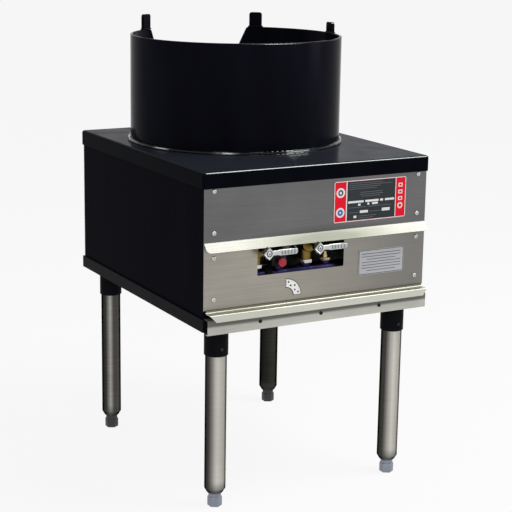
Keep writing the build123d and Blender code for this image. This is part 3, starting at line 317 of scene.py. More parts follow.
def thread(name, start, turn, radius, pitch, length):
    """A thread's crest: a three-sided wire, nearly a pitch wide, wound up an axis from start
    and closed at both ends. turn lays that axis along the stud or pipe."""
    wire_radius, sunk = pitch * 0.46, pitch * 0.1
    bpy.ops.mesh.primitive_circle_add(vertices=3, radius=wire_radius, fill_type="NOTHING",
                                      rotation=(math.pi / 2, 0, 0))
    wire = bpy.context.object
    bpy.ops.object.transform_apply(location=True, rotation=True, scale=True)
    bpy.ops.object.mode_set(mode="EDIT")
    bpy.ops.mesh.select_all(action="SELECT")
    bpy.ops.transform.translate(value=(radius - sunk, 0, pitch / 2))
    bpy.ops.object.mode_set(mode="OBJECT")
    winding = wire.modifiers.new("winding", "SCREW")
    winding.screw_offset, winding.iterations = pitch, int(length / pitch - 1)
    winding.steps = winding.render_steps = 20
    bpy.ops.object.modifier_apply(modifier=winding.name)
    bpy.ops.object.mode_set(mode="EDIT")
    bpy.ops.mesh.select_all(action="DESELECT")
    bpy.ops.mesh.select_mode(type="EDGE")
    bpy.ops.mesh.select_non_manifold()
    bpy.ops.mesh.edge_face_add()
    bpy.ops.mesh.select_all(action="SELECT")
    bpy.ops.mesh.normals_make_consistent(inside=False)
    bpy.ops.object.mode_set(mode="OBJECT")
    wire.rotation_euler = turn
    wire.location = start
    return settle(wire, name)


bpy.ops.mesh.primitive_cylinder_add(vertices=6, radius=foot_flats / math.sqrt(3),
                                    depth=foot_hex_height,
                                    location=(-leg_x, -leg_y, foot_hex_height / 2))
hexagon = settle(bpy.context.object, "foot_hexagon", foot_rounding, 3)
bpy.ops.mesh.primitive_cone_add(vertices=48, radius1=neck_radius + neck_flare,
                                radius2=neck_radius,
                                depth=foot_top - foot_hex_height + neck_overlap,
                                location=(-leg_x, -leg_y, (foot_top + foot_hex_height) / 2))
neck = settle(bpy.context.object, "foot_neck", 0.0012, 3)
bpy.ops.mesh.primitive_cylinder_add(vertices=32, radius=stud_radius, depth=stud_top - foot_top,
                                    location=(-leg_x, -leg_y, (stud_top + foot_top) / 2))
stud = settle(bpy.context.object, "foot_stud", 0.001)
crest = thread("foot_thread", (-leg_x, -leg_y, foot_top), (0, 0, 0), stud_radius, stud_pitch,
               stud_top - foot_top)
first_foot = joined("adjustable_foot_front_left", hexagon, neck, stud, crest)


def dull_casting(name, colour, worn, metallic=0.6, grit=1.1):
    """A tumbled casting: pits of grit mm in its gloss, and broad stains 17 mm across."""
    material, tree, place, shader = start_material(name, {"Metallic": metallic})
    stains = add_node(tree, "TexNoise", {"Vector": place, "Scale": 1000 / 16.7, "Detail": 4.0})
    tint = add_node(tree, "Mix", {0: stains.outputs[0], 6: from_hex(colour), 7: from_hex(worn)},
                    data_type="RGBA")
    tree.links.new(tint.outputs[2], shader.inputs["Base Color"])
    pits = add_node(tree, "TexNoise", {"Vector": place, "Scale": 1000 / grit, "Detail": 2.0})
    rough = add_node(tree, "MapRange", {"Value": pits.outputs[0], "To Min": 0.38,
                                        "To Max": 0.6})
    tree.links.new(rough.outputs[0], shader.inputs["Roughness"])
    bump = add_node(tree, "Bump", {"Strength": 0.3, "Distance": 0.0003,
                                   "Height": pits.outputs[0]})
    tree.links.new(bump.outputs[0], shader.inputs["Normal"])
    return material


foot_zinc = dull_casting("tumbled die-cast zinc", "#969ca6", "#7c828c")
darker_rear_zinc = dull_casting("darker die-cast zinc, rear", "#45464a", "#303135")
first_foot.data.materials.append(foot_zinc)
for corner, (side, end) in corners.items():
    foot = first_foot
    if corner != "front_left":
        foot = copied(first_foot, "adjustable_foot_" + corner,
                      ((side + 1) * leg_x, (end + 1) * leg_y, 0))
    # the rear feet take the darker zinc
    if end > 0:
        foot.data.materials[0] = darker_rear_zinc
    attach(foot, "foot_" + corner)
    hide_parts("foot_" + corner)

black_oxide = dull_casting("black oxide steel", "#2b2927", "#1b1a19")
dress(black_oxide, "leg_set_screws")

# ------------------------------------------------------------------ side panels
# Sheet steel in black porcelain enamel, fired to a gloss with a slight orange peel. It is so
# dark that only the edges and the smears in the gloss show.


def fired_enamel(name, colour, smear, roughness, depth):
    """Porcelain enamel: waves 8 mm across in the gloss, and smears 59 mm across and 286 mm
    high that ran down as it was fired. depth is its IOR, low for the same reason as a paint's."""
    material, tree, place, shader = start_material(name, {"IOR": depth})
    waves = add_node(tree, "TexNoise", {"Vector": place, "Scale": 1000 / 8.33, "Detail": 1.0})
    runs = add_node(tree, "Mapping", {"Vector": place,
                                      "Scale": (1000 / 59, 1000 / 59, 1000 / 286)})
    smears = add_node(tree, "TexNoise", {"Vector": runs.outputs[0], "Scale": 1.0, "Detail": 5.0})
    tint = add_node(tree, "Mix", {0: smears.outputs[0], 6: from_hex(colour), 7: from_hex(smear)},
                    data_type="RGBA")
    tree.links.new(tint.outputs[2], shader.inputs["Base Color"])
    rough = add_node(tree, "MapRange", {"Value": smears.outputs[0], "From Min": 0.3,
                                        "From Max": 0.7, "To Min": roughness - 0.05,
                                        "To Max": roughness + 0.08})
    tree.links.new(rough.outputs[0], shader.inputs["Roughness"])
    bump = add_node(tree, "Bump", {"Strength": 0.12, "Distance": 0.0004,
                                   "Height": waves.outputs[0]})
    tree.links.new(bump.outputs[0], shader.inputs["Normal"])
    return material


side_enamel = fired_enamel("black enamel, satin", "#08070d", "#12111a", 0.3, 1.028)
dress(side_enamel, "side_panel_left", "side_panel_right")

# ------------------------------------------------------------------ back panel and inner sheet work
# Zinc-coated sheet steel: the back panel, the tray's runners, the air shutters and the pilot
# burner's bracket, with the flat crystals of hot-dip coating. The manifold's saddles are black.


def hot_dip_zinc(name, colour, worn):
    """Galvanised sheet: spangles about 12 mm across, each with a tone and gloss of its own."""
    material, tree, place, shader = start_material(name, {"Metallic": 0.85})
    spangle = add_node(tree, "TexVoronoi", {"Vector": place, "Scale": 1000 / 12.5})
    tone = add_node(tree, "SeparateColor", {"Color": spangle.outputs["Color"]})
    tint = add_node(tree, "Mix", {0: tone.outputs[0], 6: from_hex(colour), 7: from_hex(worn)},
                    data_type="RGBA")
    tree.links.new(tint.outputs[2], shader.inputs["Base Color"])
    rough = add_node(tree, "MapRange", {"Value": tone.outputs[1], "To Min": 0.35,
                                        "To Max": 0.5})
    tree.links.new(rough.outputs[0], shader.inputs["Roughness"])
    return material


zinc_sheet = hot_dip_zinc("hot-dip zinc on sheet steel", "#a4a8aa", "#84888b")
dress(zinc_sheet, "back_panel", "tray_runner_left", "tray_runner_right", "air_shutter_outer",
      "air_shutter_inner", "pilot_burner")
dress(frame_paint, "manifold_saddles")

# ------------------------------------------------------------------ burner
# Two sand-cast iron rings on their arms, left bare, on a painted steel cradle inside a
# painted steel shroud.


def bare_iron(name, colour, worn):
    """Sand-cast iron: grains about 1.5 mm across, and brown heat stains 33 mm across."""
    material, tree, place, shader = start_material(name, {"Metallic": 0.35, "Roughness": 0.62})
    heat = add_node(tree, "TexNoise", {"Vector": place, "Scale": 1000 / 33.3, "Detail": 6.0})
    tint = add_node(tree, "Mix", {0: heat.outputs[0], 6: from_hex(colour), 7: from_hex(worn)},
                    data_type="RGBA")
    tree.links.new(tint.outputs[2], shader.inputs["Base Color"])
    sand = add_node(tree, "TexNoise", {"Vector": place, "Scale": 1000 / 1.54, "Detail": 3.0})
    bump = add_node(tree, "Bump", {"Strength": 0.6, "Distance": 0.0005,
                                   "Height": sand.outputs[0]})
    tree.links.new(bump.outputs[0], shader.inputs["Normal"])
    return material


cast_iron = bare_iron("sand-cast iron", "#2f2d2b", "#453a33")
dress(cast_iron, "burner_outer", "burner_inner")
dress(frame_paint, "burner_cradle", "burner_shroud")

# ------------------------------------------------------------------ gas pipework
# The manifold is blued steel pipe. The inlet pipe and elbow have a glossy blue-black paint,
# and the inlet's last 20 mm carries a cut pipe thread, left bright.

inlet_x, inlet_z, inlet_end = 0.150, 0.415, 0.291
pipe_thread_length, pipe_thread_pitch, pipe_thread_radius = 0.020, 0.00181, 0.0129
pipe_paint = sprayed_coat("blue-black pipe paint", "#14162a", "#1c1f36", 0.25, 1.4)
dress(pipe_paint, "inlet_pipe", "pipe_elbow")


def turned_metal(name, colour, worn, roughness):
    """Turned or plated metal, with cloudy tarnish 11 mm across in its colour and gloss."""
    material, tree, place, shader = start_material(name, {"Metallic": 1.0})
    tarnish = add_node(tree, "TexNoise", {"Vector": place, "Scale": 1000 / 11.1, "Detail": 5.0})
    tint = add_node(tree, "Mix", {0: tarnish.outputs[0], 6: from_hex(colour),
                                  7: from_hex(worn)}, data_type="RGBA")
    tree.links.new(tint.outputs[2], shader.inputs["Base Color"])
    rough = add_node(tree, "MapRange", {"Value": tarnish.outputs[0], "From Min": 0.3,
                                        "From Max": 0.7, "To Min": roughness,
                                        "To Max": roughness + 0.12})
    tree.links.new(rough.outputs[0], shader.inputs["Roughness"])
    return material


blued_steel = turned_metal("blued steel pipe", "#322f52", "#1e1c38", 0.26)
dress(blued_steel, "manifold", "manifold_cap")
pipe_thread = thread("inlet_pipe_thread", (inlet_x, inlet_end - pipe_thread_length, inlet_z),
                     (-math.pi / 2, 0, 0), pipe_thread_radius, pipe_thread_pitch,
                     pipe_thread_length)
cut_steel = turned_metal("cut steel thread", "#8b8a86", "#5f5d59", 0.3)
pipe_thread.data.materials.append(cut_steel)
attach(pipe_thread, "chassis")

# ------------------------------------------------------------------ gas valves
# Turned brass bodies with hexagonal lock nuts, brass jets and a brass pressure tap, all
# dulled a little by heat, on the manifold's bosses.


def softened(node, name, round_by, material, body="chassis"):
    """Stands in for a CAD node: the same shape, with its sharp edges rounded as if cast or
    broken with a file."""
    only(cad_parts[node])
    bpy.ops.object.duplicate()
    twin = bpy.context.object
    twin.parent = None
    bpy.ops.object.mode_set(mode="EDIT")
    bpy.ops.mesh.select_all(action="SELECT")
    bpy.ops.mesh.remove_doubles(threshold=0.00001)
    bpy.ops.mesh.dissolve_limited(angle_limit=math.radians(1))
    bpy.ops.object.mode_set(mode="OBJECT")
    settle(twin, name, round_by)
    twin.data.materials.clear()
    twin.data.materials.append(material)
    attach(twin, body)
    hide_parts(node)
    return twin


brass = turned_metal("turned brass", "#8a723a", "#524526", 0.28)
for name in ("outer", "inner"):
    softened("valve_body_" + name, "brass_valve_" + name, 0.0006, brass)
pale_brass = turned_metal("pale brass", "#d2c49a", "#8c7c52", 0.28)
softened("pressure_tap", "brass_pressure_tap", 0.0004, pale_brass)
dress(brass, "orifice_outer", "orifice_inner")
nickel = turned_metal("nickel-plated steel", "#d6d6d2", "#b4b5b3", 0.2)
softened("valve_nuts", "valve_lock_nuts", 0.0007, nickel)
valve_casting = dull_casting("die-cast aluminium", "#2a2b2e", "#1c1d1f")
softened("pilot_valve_body", "pilot_valve_casting", 0.0015, valve_casting)
soft_aluminium = turned_metal("drawn aluminium tube", "#c3c5c6", "#9a9c9e", 0.3)
dress(soft_aluminium, "pilot_tube")
copper = turned_metal("copper capillary", "#b06a45", "#7a4630", 0.3)
dress(copper, "thermocouple")

# ------------------------------------------------------------------ pilot button
# A red phenolic button, moulded glossy, with a dished face and scuffs from fingertips. Its
# stem slides in the pilot valve.

button_x, button_face, button_z = -0.068, -0.257, 0.4395
button_radius, button_depth = 0.008, 0.005
button_rim, button_slope, button_dish = 0.0018, 0.0012, 0.0008
button_stem_radius, button_stem_length = 0.0035, 0.012

bpy.ops.mesh.primitive_cylinder_add(vertices=48, radius=button_radius, depth=button_depth,
                                    location=(button_x, button_face + button_depth / 2, button_z),
                                    rotation=(math.pi / 2, 0, 0))
button = settle(bpy.context.object, "red_pilot_button")
pick(button, "polygons", lambda face: face.normal.y < -0.9)
bpy.ops.mesh.inset(thickness=button_rim)
bpy.ops.mesh.inset(thickness=button_slope)
bpy.ops.transform.translate(value=(0, button_dish, 0))
settle(button, "red_pilot_button", 0.0006, 3)
bpy.ops.mesh.primitive_cylinder_add(
    vertices=24, radius=button_stem_radius, depth=button_stem_length, rotation=(math.pi / 2, 0, 0),
    location=(button_x, button_face + button_depth + button_stem_length / 2, button_z))
button = joined("red_pilot_button", button, settle(bpy.context.object, "button_stem"))

phenolic, tree, place, shader = start_material("red phenolic", {"IOR": 1.5})
scuffs = add_node(tree, "TexNoise", {"Vector": place, "Scale": 1000 / 3.33, "Detail": 4.0})
tint = add_node(tree, "Mix", {0: scuffs.outputs[0], 6: from_hex("#c81836"),
                              7: from_hex("#9c122c")}, data_type="RGBA")
tree.links.new(tint.outputs[2], shader.inputs["Base Color"])
rough = add_node(tree, "MapRange", {"Value": scuffs.outputs[0], "To Min": 0.18, "To Max": 0.35})
tree.links.new(rough.outputs[0], shader.inputs["Roughness"])
button.data.materials.append(phenolic)
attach(button, "button")
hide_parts("pilot_button")

# ------------------------------------------------------------------ stainless front
# Two stainless panels, polished across the width and screwed to the side panels. The upper
# one is toned darker than the lower one as painted shade, and is flared along its bottom edge
# into a drip hood that carries a painted highlight below the fold, with painted shade in its
# middle. The lower one is painted darker towards the right as painted shade.

hood_fold, hood_highlight = 0.4905, 0.4885
hood_shade_x, hood_shade_z, hood_shade_flatness = 0.01, 0.479, 9.0
hood_shade_edge, hood_shade_middle = 0.21, 0.06
lower_shade_start_x, lower_shade_full_x = -0.15, 0.2

# the upper panel's darker tone than the lower panel's is painted shade
upper_steel = brushed_stainless("polished stainless, upper panel", "#727172", "#656465",
                                (160.0, 1.0, 1.0), 0.3)
# painted highlight on the hood below its fold
painted_light_or_tone(upper_steel, 2, hood_fold, hood_highlight, "#7c7c78", 1.0)
tree = upper_steel.node_tree
place = add_node(tree, "TexCoord").outputs["Object"]
# painted shade in the hood's middle
middle_shade_place = add_node(tree, "Mapping", {"Vector": place, "Scale": (1.0, 0.0, hood_shade_flatness),
                                   "Location": (-hood_shade_x, 0.0, -hood_shade_flatness * hood_shade_z)})
spread = add_node(tree, "VectorMath", {0: middle_shade_place.outputs[0]}, operation="LENGTH")
painted_light_or_tone(upper_steel, spread.outputs["Value"], hood_shade_edge, hood_shade_middle, "#54564f", 1.0)
dress(upper_steel, "upper_front_panel")
lower_steel = brushed_stainless("polished stainless, lower panel", "#a9a498", "#96928a",
                                (160.0, 1.0, 1.0), 0.36)
# painted shade, darker towards the right
painted_light_or_tone(lower_steel, 0, lower_shade_start_x, lower_shade_full_x, "#6f6e6d", 0.75)
dress(lower_steel, "lower_front_panel")

# ------------------------------------------------------------------ front rail and drip tray
# The tray is bent from bright stainless sheet, with a flared pull along its front and a lip,
# painted a darker tone, that stands on the pull. The channel below it is duller sheet, screwed
# to the base frame, with a painted shadow that keeps it dark close under the pull.

lip_foot, lip_face = 0.3680, 0.3690
rail_shadow_start, rail_shadow_full = 0.3435, 0.3475

tray_steel = brushed_stainless("bright stainless sheet", "#c5c6bb", "#b6b6ab",
                               (160.0, 1.0, 1.0), 0.34)
# the lip is painted a darker tone
painted_light_or_tone(tray_steel, 2, lip_foot, lip_face, "#7f7d72", 1.0)
dress(tray_steel, "drip_tray")
rail_steel = brushed_stainless("dulled stainless sheet", "#c8c7be", "#b6b5ac",
                               (160.0, 1.0, 1.0), 0.4, {"Metallic": 0.35})
# painted shadow under the pull
painted_light_or_tone(rail_steel, 2, rail_shadow_start, rail_shadow_full, "#4d4c44", 0.85)
dress(rail_steel, "front_rail")

# ------------------------------------------------------------------ screws
# Pan-head machine screws with a cross recess: nickel-plated in the panels, black oxide in
# the rail, where the black is painted shade under the pull. One is modelled and copied into
# every hole.

panel_screw_x, panel_face, back_face, rail_face = 0.2067, -0.2632, 0.2632, -0.2772
front_screw_heights, back_screw_heights = (0.389, 0.462, 0.505, 0.577), (0.372, 0.475, 0.578)
rail_screw_z, rail_screw_spacing = 0.3452, 0.1225
screw_head_radius, rail_head_radius, screw_head_height = 0.004, 0.0032, 0.0022
screw_shank_radius, screw_length = 0.002, 0.007
head_rounding = 0.62                                  # share of the head's height
recess_reach, recess_width = 1.15, 0.22               # shares of the head's radius


def pan_screw(name, radius, turned_back=False):
    """A screw at the origin, its head out of the sheet towards -Y, or +Y if turned back."""
    bpy.ops.mesh.primitive_cylinder_add(vertices=32, radius=radius, depth=screw_head_height,
                                        location=(0, -screw_head_height / 2, 0),
                                        rotation=(math.pi / 2, 0, 0))
    head = settle(bpy.context.object, name)
    pick(head, "edges", lambda edge: all(head.data.vertices[i].co.y < -screw_head_height * 0.9
                                         for i in edge.vertices))
    bpy.ops.mesh.bevel(offset=screw_head_height * head_rounding, segments=4, profile=0.5)
    bpy.ops.object.mode_set(mode="OBJECT")
    for turn in (0, math.pi / 2):
        bpy.ops.mesh.primitive_cube_add(size=1, location=(0, -screw_head_height, 0),
                                        rotation=(0, turn, 0),
                                        scale=(radius * recess_reach, screw_head_height,
                                               radius * recess_width))
        driver_tip = bpy.context.object
        recess = head.modifiers.new("recess", "BOOLEAN")
        recess.operation, recess.object = "DIFFERENCE", driver_tip
        only(head)
        bpy.ops.object.modifier_apply(modifier=recess.name)
        only(driver_tip)
        bpy.ops.object.delete()
    bpy.ops.mesh.primitive_cylinder_add(vertices=16, radius=screw_shank_radius,
                                        depth=screw_length, location=(0, screw_length / 2, 0),
                                        rotation=(math.pi / 2, 0, 0))
    shank = settle(bpy.context.object, "shank")
    screw = joined(name, settle(head, name), shank)
    if turned_back:
        screw.rotation_euler = (0, 0, math.pi)
    return settle(screw, name)


def screw_set(name, node, finish, radius, places, turned_back=False):
    """Every screw of one CAD node, as one object."""
    pattern = pan_screw(name + "_pattern", radius, turned_back)
    screws = joined(name, *(copied(pattern, "screw", place) for place in places))
    only(pattern)
    bpy.ops.object.delete()
    screws.data.materials.append(finish)
    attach(screws, "chassis")
    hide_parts(node)


screw_set("front_panel_screws", "panel_screws", nickel, screw_head_radius,
          [(side * panel_screw_x, panel_face, height) for side in (-1, 1)
           for height in front_screw_heights])
screw_set("rear_panel_screws", "back_screws", nickel, screw_head_radius,
          [(side * panel_screw_x, back_face, height) for side in (-1, 1)
           for height in back_screw_heights], turned_back=True)
# the rail's black screws stand in for painted shade under the pull
screw_set("front_rail_screws", "rail_screws", black_oxide, rail_head_radius,
          [(step * rail_screw_spacing, rail_face, rail_screw_z) for step in (-1, 0, 1)])

# ------------------------------------------------------------------ valve levers
# Die-cast and chrome-plated: a diamond hub held on the valve's stem by a screw, and an arm that
# widens into a ribbed finger grip. The hub's groove and the ground between the ribs are coloured
# grey as painted shade in these recesses. One is modelled and copied.

lever_x, lever_z = -0.1135, 0.466
lever_spacing = 0.101
hub_corner, hub_front, hub_back = 0.0112, -0.291, -0.2795
hub_rim, hub_dish = 0.0016, 0.0009
arm_front, arm_back, arm_reach, arm_height = -0.289, -0.283, 0.058, 0.0106
arm_root_end, arm_grip_start, arm_tip_start = 0.3, 0.4, 0.93    # shares of its reach
arm_root_taper, arm_tip_taper = (1, 0.85, 0.8), (1, 0.8, 0.55)
rib_count, rib_pitch, rib_radius = 5, 0.0062, 0.0014
rib_margin, first_rib = 0.002, 0.85                             # the second in rib pitches
stem_radius, stem_end = 0.004, -0.2455
inlay_proud, inlay_setback, inlay_margin, groove_radius = 0.0003, 0.003, 0.0036, 0.0056
hub_screw_radius, hub_screw_seat = 0.0042, 0.00225

bpy.ops.mesh.primitive_cylinder_add(vertices=4, radius=hub_corner, depth=hub_back - hub_front,
                                    location=(lever_x, (hub_front + hub_back) / 2, lever_z),
                                    rotation=(math.pi / 2, 0, 0))
hub = settle(bpy.context.object, "lever_hub")
pick(hub, "polygons", lambda face: face.normal.y < -0.9)
bpy.ops.mesh.inset(thickness=hub_rim)
bpy.ops.transform.translate(value=(0, hub_dish, 0))
settle(hub, "lever_hub", 0.0011, 3)
bpy.ops.mesh.primitive_cube_add(
    size=1, location=(lever_x + arm_reach / 2, (arm_front + arm_back) / 2, lever_z),
    scale=(arm_reach, arm_back - arm_front, arm_height))
arm = settle(bpy.context.object, "lever_arm")
for share in (arm_root_end, arm_grip_start, arm_tip_start):
    pick(arm, "polygons", lambda face: True)
    bpy.ops.mesh.bisect(plane_co=(lever_x + arm_reach * share, 0, 0), plane_no=(1, 0, 0))
    bpy.ops.object.mode_set(mode="OBJECT")
root_limit = lever_x + arm_reach * (arm_root_end + arm_grip_start) / 2
pick(arm, "vertices", lambda point: point.co.x < root_limit)
bpy.ops.transform.resize(value=arm_root_taper, center_override=(0, arm_back, lever_z))
bpy.ops.object.mode_set(mode="OBJECT")
tip_limit = lever_x + arm_reach * (arm_tip_start + 1) / 2
pick(arm, "vertices", lambda point: point.co.x > tip_limit)
bpy.ops.transform.resize(value=arm_tip_taper, center_override=(0, arm_back, lever_z))
settle(arm, "lever_arm", 0.0014, 3)
ribs = []
for rib in range(rib_count):
    bpy.ops.mesh.primitive_cylinder_add(
        vertices=16, radius=rib_radius, depth=arm_height - rib_margin,
        location=(lever_x + arm_reach - rib_pitch * (rib + first_rib), arm_front, lever_z))
    ribs.append(settle(bpy.context.object, "lever_rib", 0.0004))
inlay_length = rib_pitch * rib_count
bpy.ops.mesh.primitive_cube_add(
    size=1, location=(lever_x + arm_reach - inlay_length / 2 - inlay_setback, arm_front, lever_z),
    scale=(inlay_length, inlay_proud * 2, arm_height - inlay_margin))
inlay = settle(bpy.context.object, "grip_inlay", 0.0003)
bpy.ops.mesh.primitive_cylinder_add(vertices=48, radius=groove_radius, depth=inlay_proud * 2,
                                    location=(lever_x, hub_front + hub_dish, lever_z),
                                    rotation=(math.pi / 2, 0, 0))
groove = settle(bpy.context.object, "hub_groove", 0.0002)
# the grey in the groove and between the ribs is painted shade in these recesses
for recess, tone in ((inlay, ("#9aa3a6", "#848d91")), (groove, ("#4a4e54", "#5a5e63"))):
    recess.data.materials.append(sprayed_coat("grey painted shade, " + recess.name, *tone))
bpy.ops.mesh.primitive_cylinder_add(vertices=24, radius=stem_radius, depth=stem_end - hub_back,
                                    location=(lever_x, (stem_end + hub_back) / 2, lever_z),
                                    rotation=(math.pi / 2, 0, 0))
stem = settle(bpy.context.object, "lever_stem")
hub_screw = pan_screw("hub_screw", hub_screw_radius)
hub_screw.location = (lever_x, hub_front + hub_screw_seat, lever_z)
settle(hub_screw, "hub_screw")
chrome = turned_metal("chrome plate", "#dcdddb", "#a9abaa", 0.12)
for plated in (hub, arm, stem, hub_screw, *ribs):
    plated.data.materials.append(chrome)
first_lever = joined("chrome_lever_outer", hub, arm, stem, hub_screw, inlay, groove, *ribs)
for name, lever in (("outer", first_lever),
                    ("inner", copied(first_lever, "chrome_lever_inner", (lever_spacing, 0, 0)))):
    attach(lever, "lever_" + name)
    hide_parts("valve_lever_" + name)

# ------------------------------------------------------------------ top cover, ring and posts
# The cover is pressed steel and the ring is rolled 5 mm plate, welded on with one rippled
# bead and then enamelled gloss black together with its posts. A bluish-grey painted reflection
# lies on the cover's top, and painted highlights of bare steel lie along the front folds and
# in patches on the bead.

ring_radius, ring_centre_y, cover_top = 0.199, 0.053, 0.610
top_sheen_depth, top_sheen_fade = 0.003, 0.0002
bead_radius, bead_out, bead_up = 0.0031, 0.0024, 0.0022
bead_ripples, ripple_depth, bead_wander, wander_size = 330, 0.00055, 0.0024, 0.02
fold_glint_start, fold_glint_full = -0.465, -0.495      # a normal's Y times its Z: -0.5 on a fold's middle
bead_glint_start, bead_glint_full = 0.52, 0.6


def paint_steel_glint(material, pattern, tone_from, glint_to, colour):
    """Paints a highlight of bare steel into the enamel, growing as a pattern goes between two
    values.
    """
    amount = painted_light_or_tone(material, pattern.outputs[0], tone_from, glint_to, colour, 1.0)
    shader = material.node_tree.nodes["Principled BSDF"]
    material.node_tree.links.new(amount, shader.inputs["Metallic"])


cover_enamel = fired_enamel("black enamel, cover", "#06070b", "#0e0f16", 0.2, 1.042)
# a painted bluish-grey reflection on the cover's top
painted_light_or_tone(cover_enamel, 2, cover_top - top_sheen_depth, cover_top - top_sheen_fade, "#282a33", 0.9)
ring_enamel = fired_enamel("black enamel, ring", "#07070c", "#15161f", 0.14, 1.06)
# painted highlights of bare steel along the front folds of cover and ring
for enamel in (cover_enamel, ring_enamel):
    tree = enamel.node_tree
    facing = add_node(tree, "SeparateXYZ", {0: add_node(tree, "TexCoord").outputs["Normal"]})
    fold_glint_mask = add_node(tree, "Math", {0: facing.outputs[1], 1: facing.outputs[2]},
                           operation="MULTIPLY")
    paint_steel_glint(enamel, fold_glint_mask, fold_glint_start, fold_glint_full, "#6f7575")
dress(cover_enamel, "top_cover")
dress(ring_enamel, "wok_ring", "ring_post_left", "ring_post_right", "ring_post_side")
bpy.ops.mesh.primitive_torus_add(major_segments=2 * bead_ripples, minor_segments=8,
                                 major_radius=ring_radius + bead_out,
                                 minor_radius=bead_radius,
                                 location=(0, ring_centre_y, cover_top + bead_up))
bead = settle(bpy.context.object, "ring_weld_bead")
pick(bead, "vertices", lambda point: point.index // 8 % 2 == 0)
bpy.ops.transform.shrink_fatten(value=-ripple_depth)
bpy.ops.object.mode_set(mode="OBJECT")
wander = bpy.data.textures.new("uneven weld", "CLOUDS")
wander.noise_scale = wander_size
unevenness = bead.modifiers.new("unevenness", "DISPLACE")
unevenness.texture, unevenness.strength = wander, bead_wander
settle(bead, "ring_weld_bead", smooth=80)
weld_enamel = fired_enamel("black enamel over weld", "#0b0b10", "#16161c", 0.1, 1.3)
tree = weld_enamel.node_tree
place = add_node(tree, "TexCoord").outputs["Object"]
bead_glint_pattern = add_node(tree, "TexNoise", {"Vector": place, "Scale": 1000 / 62.5, "Detail": 1.0})
# painted glints of bare steel in patches along the bead
paint_steel_glint(weld_enamel, bead_glint_pattern, bead_glint_start, bead_glint_full, "#9aa0a0")
bead.data.materials.append(weld_enamel)
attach(bead, "chassis")

# ------------------------------------------------------------------ front plates
# A screen-printed aluminium plate, a silver film label and a white film quarter ring. They
# carry fields, rules and ticks of ink, and no words. What is printed is laid out in
# millimetres, X across and Z up from the floor.

plate_face, ink_thickness, ink_step = -0.264, 0.0001, 0.00004
ink = {"red": sprayed_coat("red screen ink", "#f2162e", "#e3142c", 0.3),
       "black": sprayed_coat("black screen ink", "#2a2f31", "#363c3e", 0.3),
       "white": sprayed_coat("white screen ink", "#efeded", "#e2e0e0", 0.35),
       "grey": sprayed_coat("grey screen ink", "#70747c", "#62666e", 0.35),
       "blue": sprayed_coat("blue screen ink", "#3f74b4", "#3a6ba8", 0.35)}
silver_film = sprayed_coat("silver film", "#c0c0c2", "#b6b6b9", 0.3)
white_film = sprayed_coat("white film", "#fffffb", "#f8f8f3", 0.35)
dress(ink["red"], "data_plate")
dress(silver_film, "label_plate")
dress(white_film, "dial_plate")


def printed(colour, x, z, width, height, layer=1):
    """A field of ink: millimetres in, a thin slab on the plate's face out. With a height of
    0 it is a round spot, and width is its diameter."""
    place = (x / 1000, plate_face - ink_step * layer, z / 1000)
    if height:
        bpy.ops.mesh.primitive_cube_add(size=1, location=place,
                                        scale=(width / 1000, ink_thickness, height / 1000))
    else:
        bpy.ops.mesh.primitive_cylinder_add(vertices=48, radius=width / 2000, depth=ink_thickness,
                                            location=place, rotation=(math.pi / 2, 0, 0))
    field = settle(bpy.context.object, "ink")
    field.data.materials.append(ink[colour])
    return field


plate_x, plate_z, plate_width, plate_height = 105, 538.5, 151, 73.5
border, border_x, border_z = 1.3, 74.9, 36.1
stripes, stripe_height = ((55.2, 2.2), (158.6, 1.4)), 71
panel_x, panel_width, panel_height = 107, 101.4, 70
headline_z, headline_height, small_height = 536.6, 3.8, 0.9
left_mark_x, left_mark_heights = 42.6, (555, 519.5)
right_mark_x, right_mark_heights, right_ring_z = 168.8, (560.5, 548, 536), 523

fields = [printed("white", plate_x, plate_z + side * border_z, plate_width, border)
          for side in (-1, 1)]
fields += [printed("white", plate_x + side * border_x, plate_z, border, plate_height)
           for side in (-1, 1)]
fields += [printed("white", x, plate_z, width, stripe_height) for x, width in stripes]
fields += [printed("black", panel_x, plate_z, panel_width, panel_height)]
fields += [printed("white", (a + b) / 2, headline_z, b - a, headline_height, 2)
           for a, b in ((58.4, 91), (94.5, 122.3), (125.5, 132), (136, 156))]
fields += [printed("grey", (a + b) / 2, z, b - a, small_height, 2)
           for a, b, z in ((60, 130, 570), (60, 152, 566.6), (60, 126, 563.2), (60, 118, 559.8),
                           (84, 130, 553), (82, 132, 549.4), (86, 126, 545.8),
                           (60, 96, 526.6), (100, 150, 526.6), (60, 84, 517.5),
                           (104, 127, 517.5), (80, 118, 510.5), (80, 112, 507))]
fields += [printed("white", x, z, width, height, 2)
           for x, z, width, height in ((82, 531, 5, 3.6), (101, 531.4, 4, 3.6),
                                       (115, 531.6, 12, 3.8), (92, 518, 17, 4.6),
                                       (138.5, 518.8, 17, 5.4), (73.5, 509.6, 6, 4.4))]
for height, colour, outer, inner in zip(left_mark_heights, ("black", "blue"), (10.4, 11), (5.4, 4)):
    fields += [printed("white", left_mark_x, height, 17.6, 0),
               printed(colour, left_mark_x, height, outer, 0, 2),
               printed("white", left_mark_x, height, inner, 0, 3)]
for height in right_mark_heights:
    fields += [printed("white", right_mark_x, height, 8.6, 7),
               printed("red", right_mark_x, height, 4.8, 3.4, 2)]
fields += [printed("white", right_mark_x, right_ring_z, 11, 0),
           printed("red", right_mark_x, right_ring_z, 6, 0, 2)]
plate_print = joined("data_plate_print", *fields)
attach(plate_print, "chassis")

label_x, label_z, label_width, label_height = 132.7, 424, 94.5, 44
outline, outline_x, outline_z = 0.9, 47.1, 21.6
row_count, first_row, row_pitch, row_height = 7, 15.4, 5.15, 1.3
row_width, short_rows, shortening = 84, (2, 6), 22

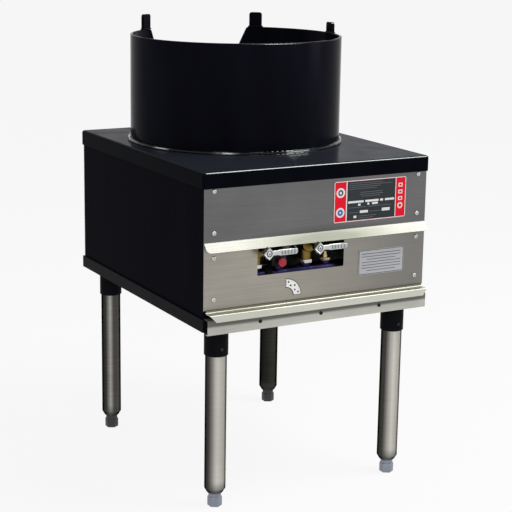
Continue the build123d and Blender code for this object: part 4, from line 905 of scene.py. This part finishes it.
fields = [printed("black", label_x, label_z + side * outline_z, label_width, outline)
          for side in (-1, 1)]
fields += [printed("black", label_x + side * outline_x, label_z, outline, label_height)
           for side in (-1, 1)]
fields += [printed("grey", label_x, label_z + first_row - row_pitch * row,
                   row_width - shortening * (row in short_rows), row_height)
           for row in range(row_count)]
label_print = joined("label_plate_rules", *fields)
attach(label_print, "chassis")

dial_x, dial_z, dial_inner, dial_outer = -65.0, 380.5, 15.4, 30.6
dial_middle, dial_rule, dial_rule_length = (dial_inner + dial_outer) / 2, 0.8, 15.6
dial_line, dial_line_flatness, dial_inset = 0.0006, 0.25, 0.5
tick_angles, tick_stagger, tick_width = (12, 28, 45, 62, 78), 2.4, 3.4

fields = []
for radius in (dial_inner, dial_outer):
    bpy.ops.mesh.primitive_torus_add(major_segments=96, minor_segments=6,
                                     major_radius=radius / 1000, minor_radius=dial_line,
                                     location=(dial_x / 1000, plate_face, dial_z / 1000),
                                     rotation=(math.pi / 2, 0, 0))
    arc = settle(bpy.context.object, "dial_arc")
    for side in ((1, 0, 0), (0, 0, 1)):
        pick(arc, "vertices", lambda point: True)
        bpy.ops.mesh.bisect(plane_co=(dial_x / 1000, plate_face, dial_z / 1000),
                            plane_no=side, use_fill=True, clear_inner=True)
        bpy.ops.object.mode_set(mode="OBJECT")
    pick(arc, "vertices", lambda point: True)
    bpy.ops.transform.resize(value=(1, dial_line_flatness, 1), center_override=(0, plate_face, 0))
    fields.append(settle(arc, "dial_arc"))
    fields[-1].data.materials.append(ink["black"])
fields += [printed("black", dial_x + dial_inset, dial_z + dial_middle, dial_rule,
                   dial_rule_length),
           printed("black", dial_x + dial_middle, dial_z + dial_inset, dial_rule_length,
                   dial_rule)]
for step, angle in enumerate(tick_angles):
    reach = dial_middle + tick_stagger * (-1) ** step
    fields.append(printed("black", dial_x + reach * math.cos(math.radians(angle)),
                          dial_z + reach * math.sin(math.radians(angle)), tick_width, 0))
dial_print = joined("dial_plate_ticks", *fields)
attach(dial_print, "chassis")
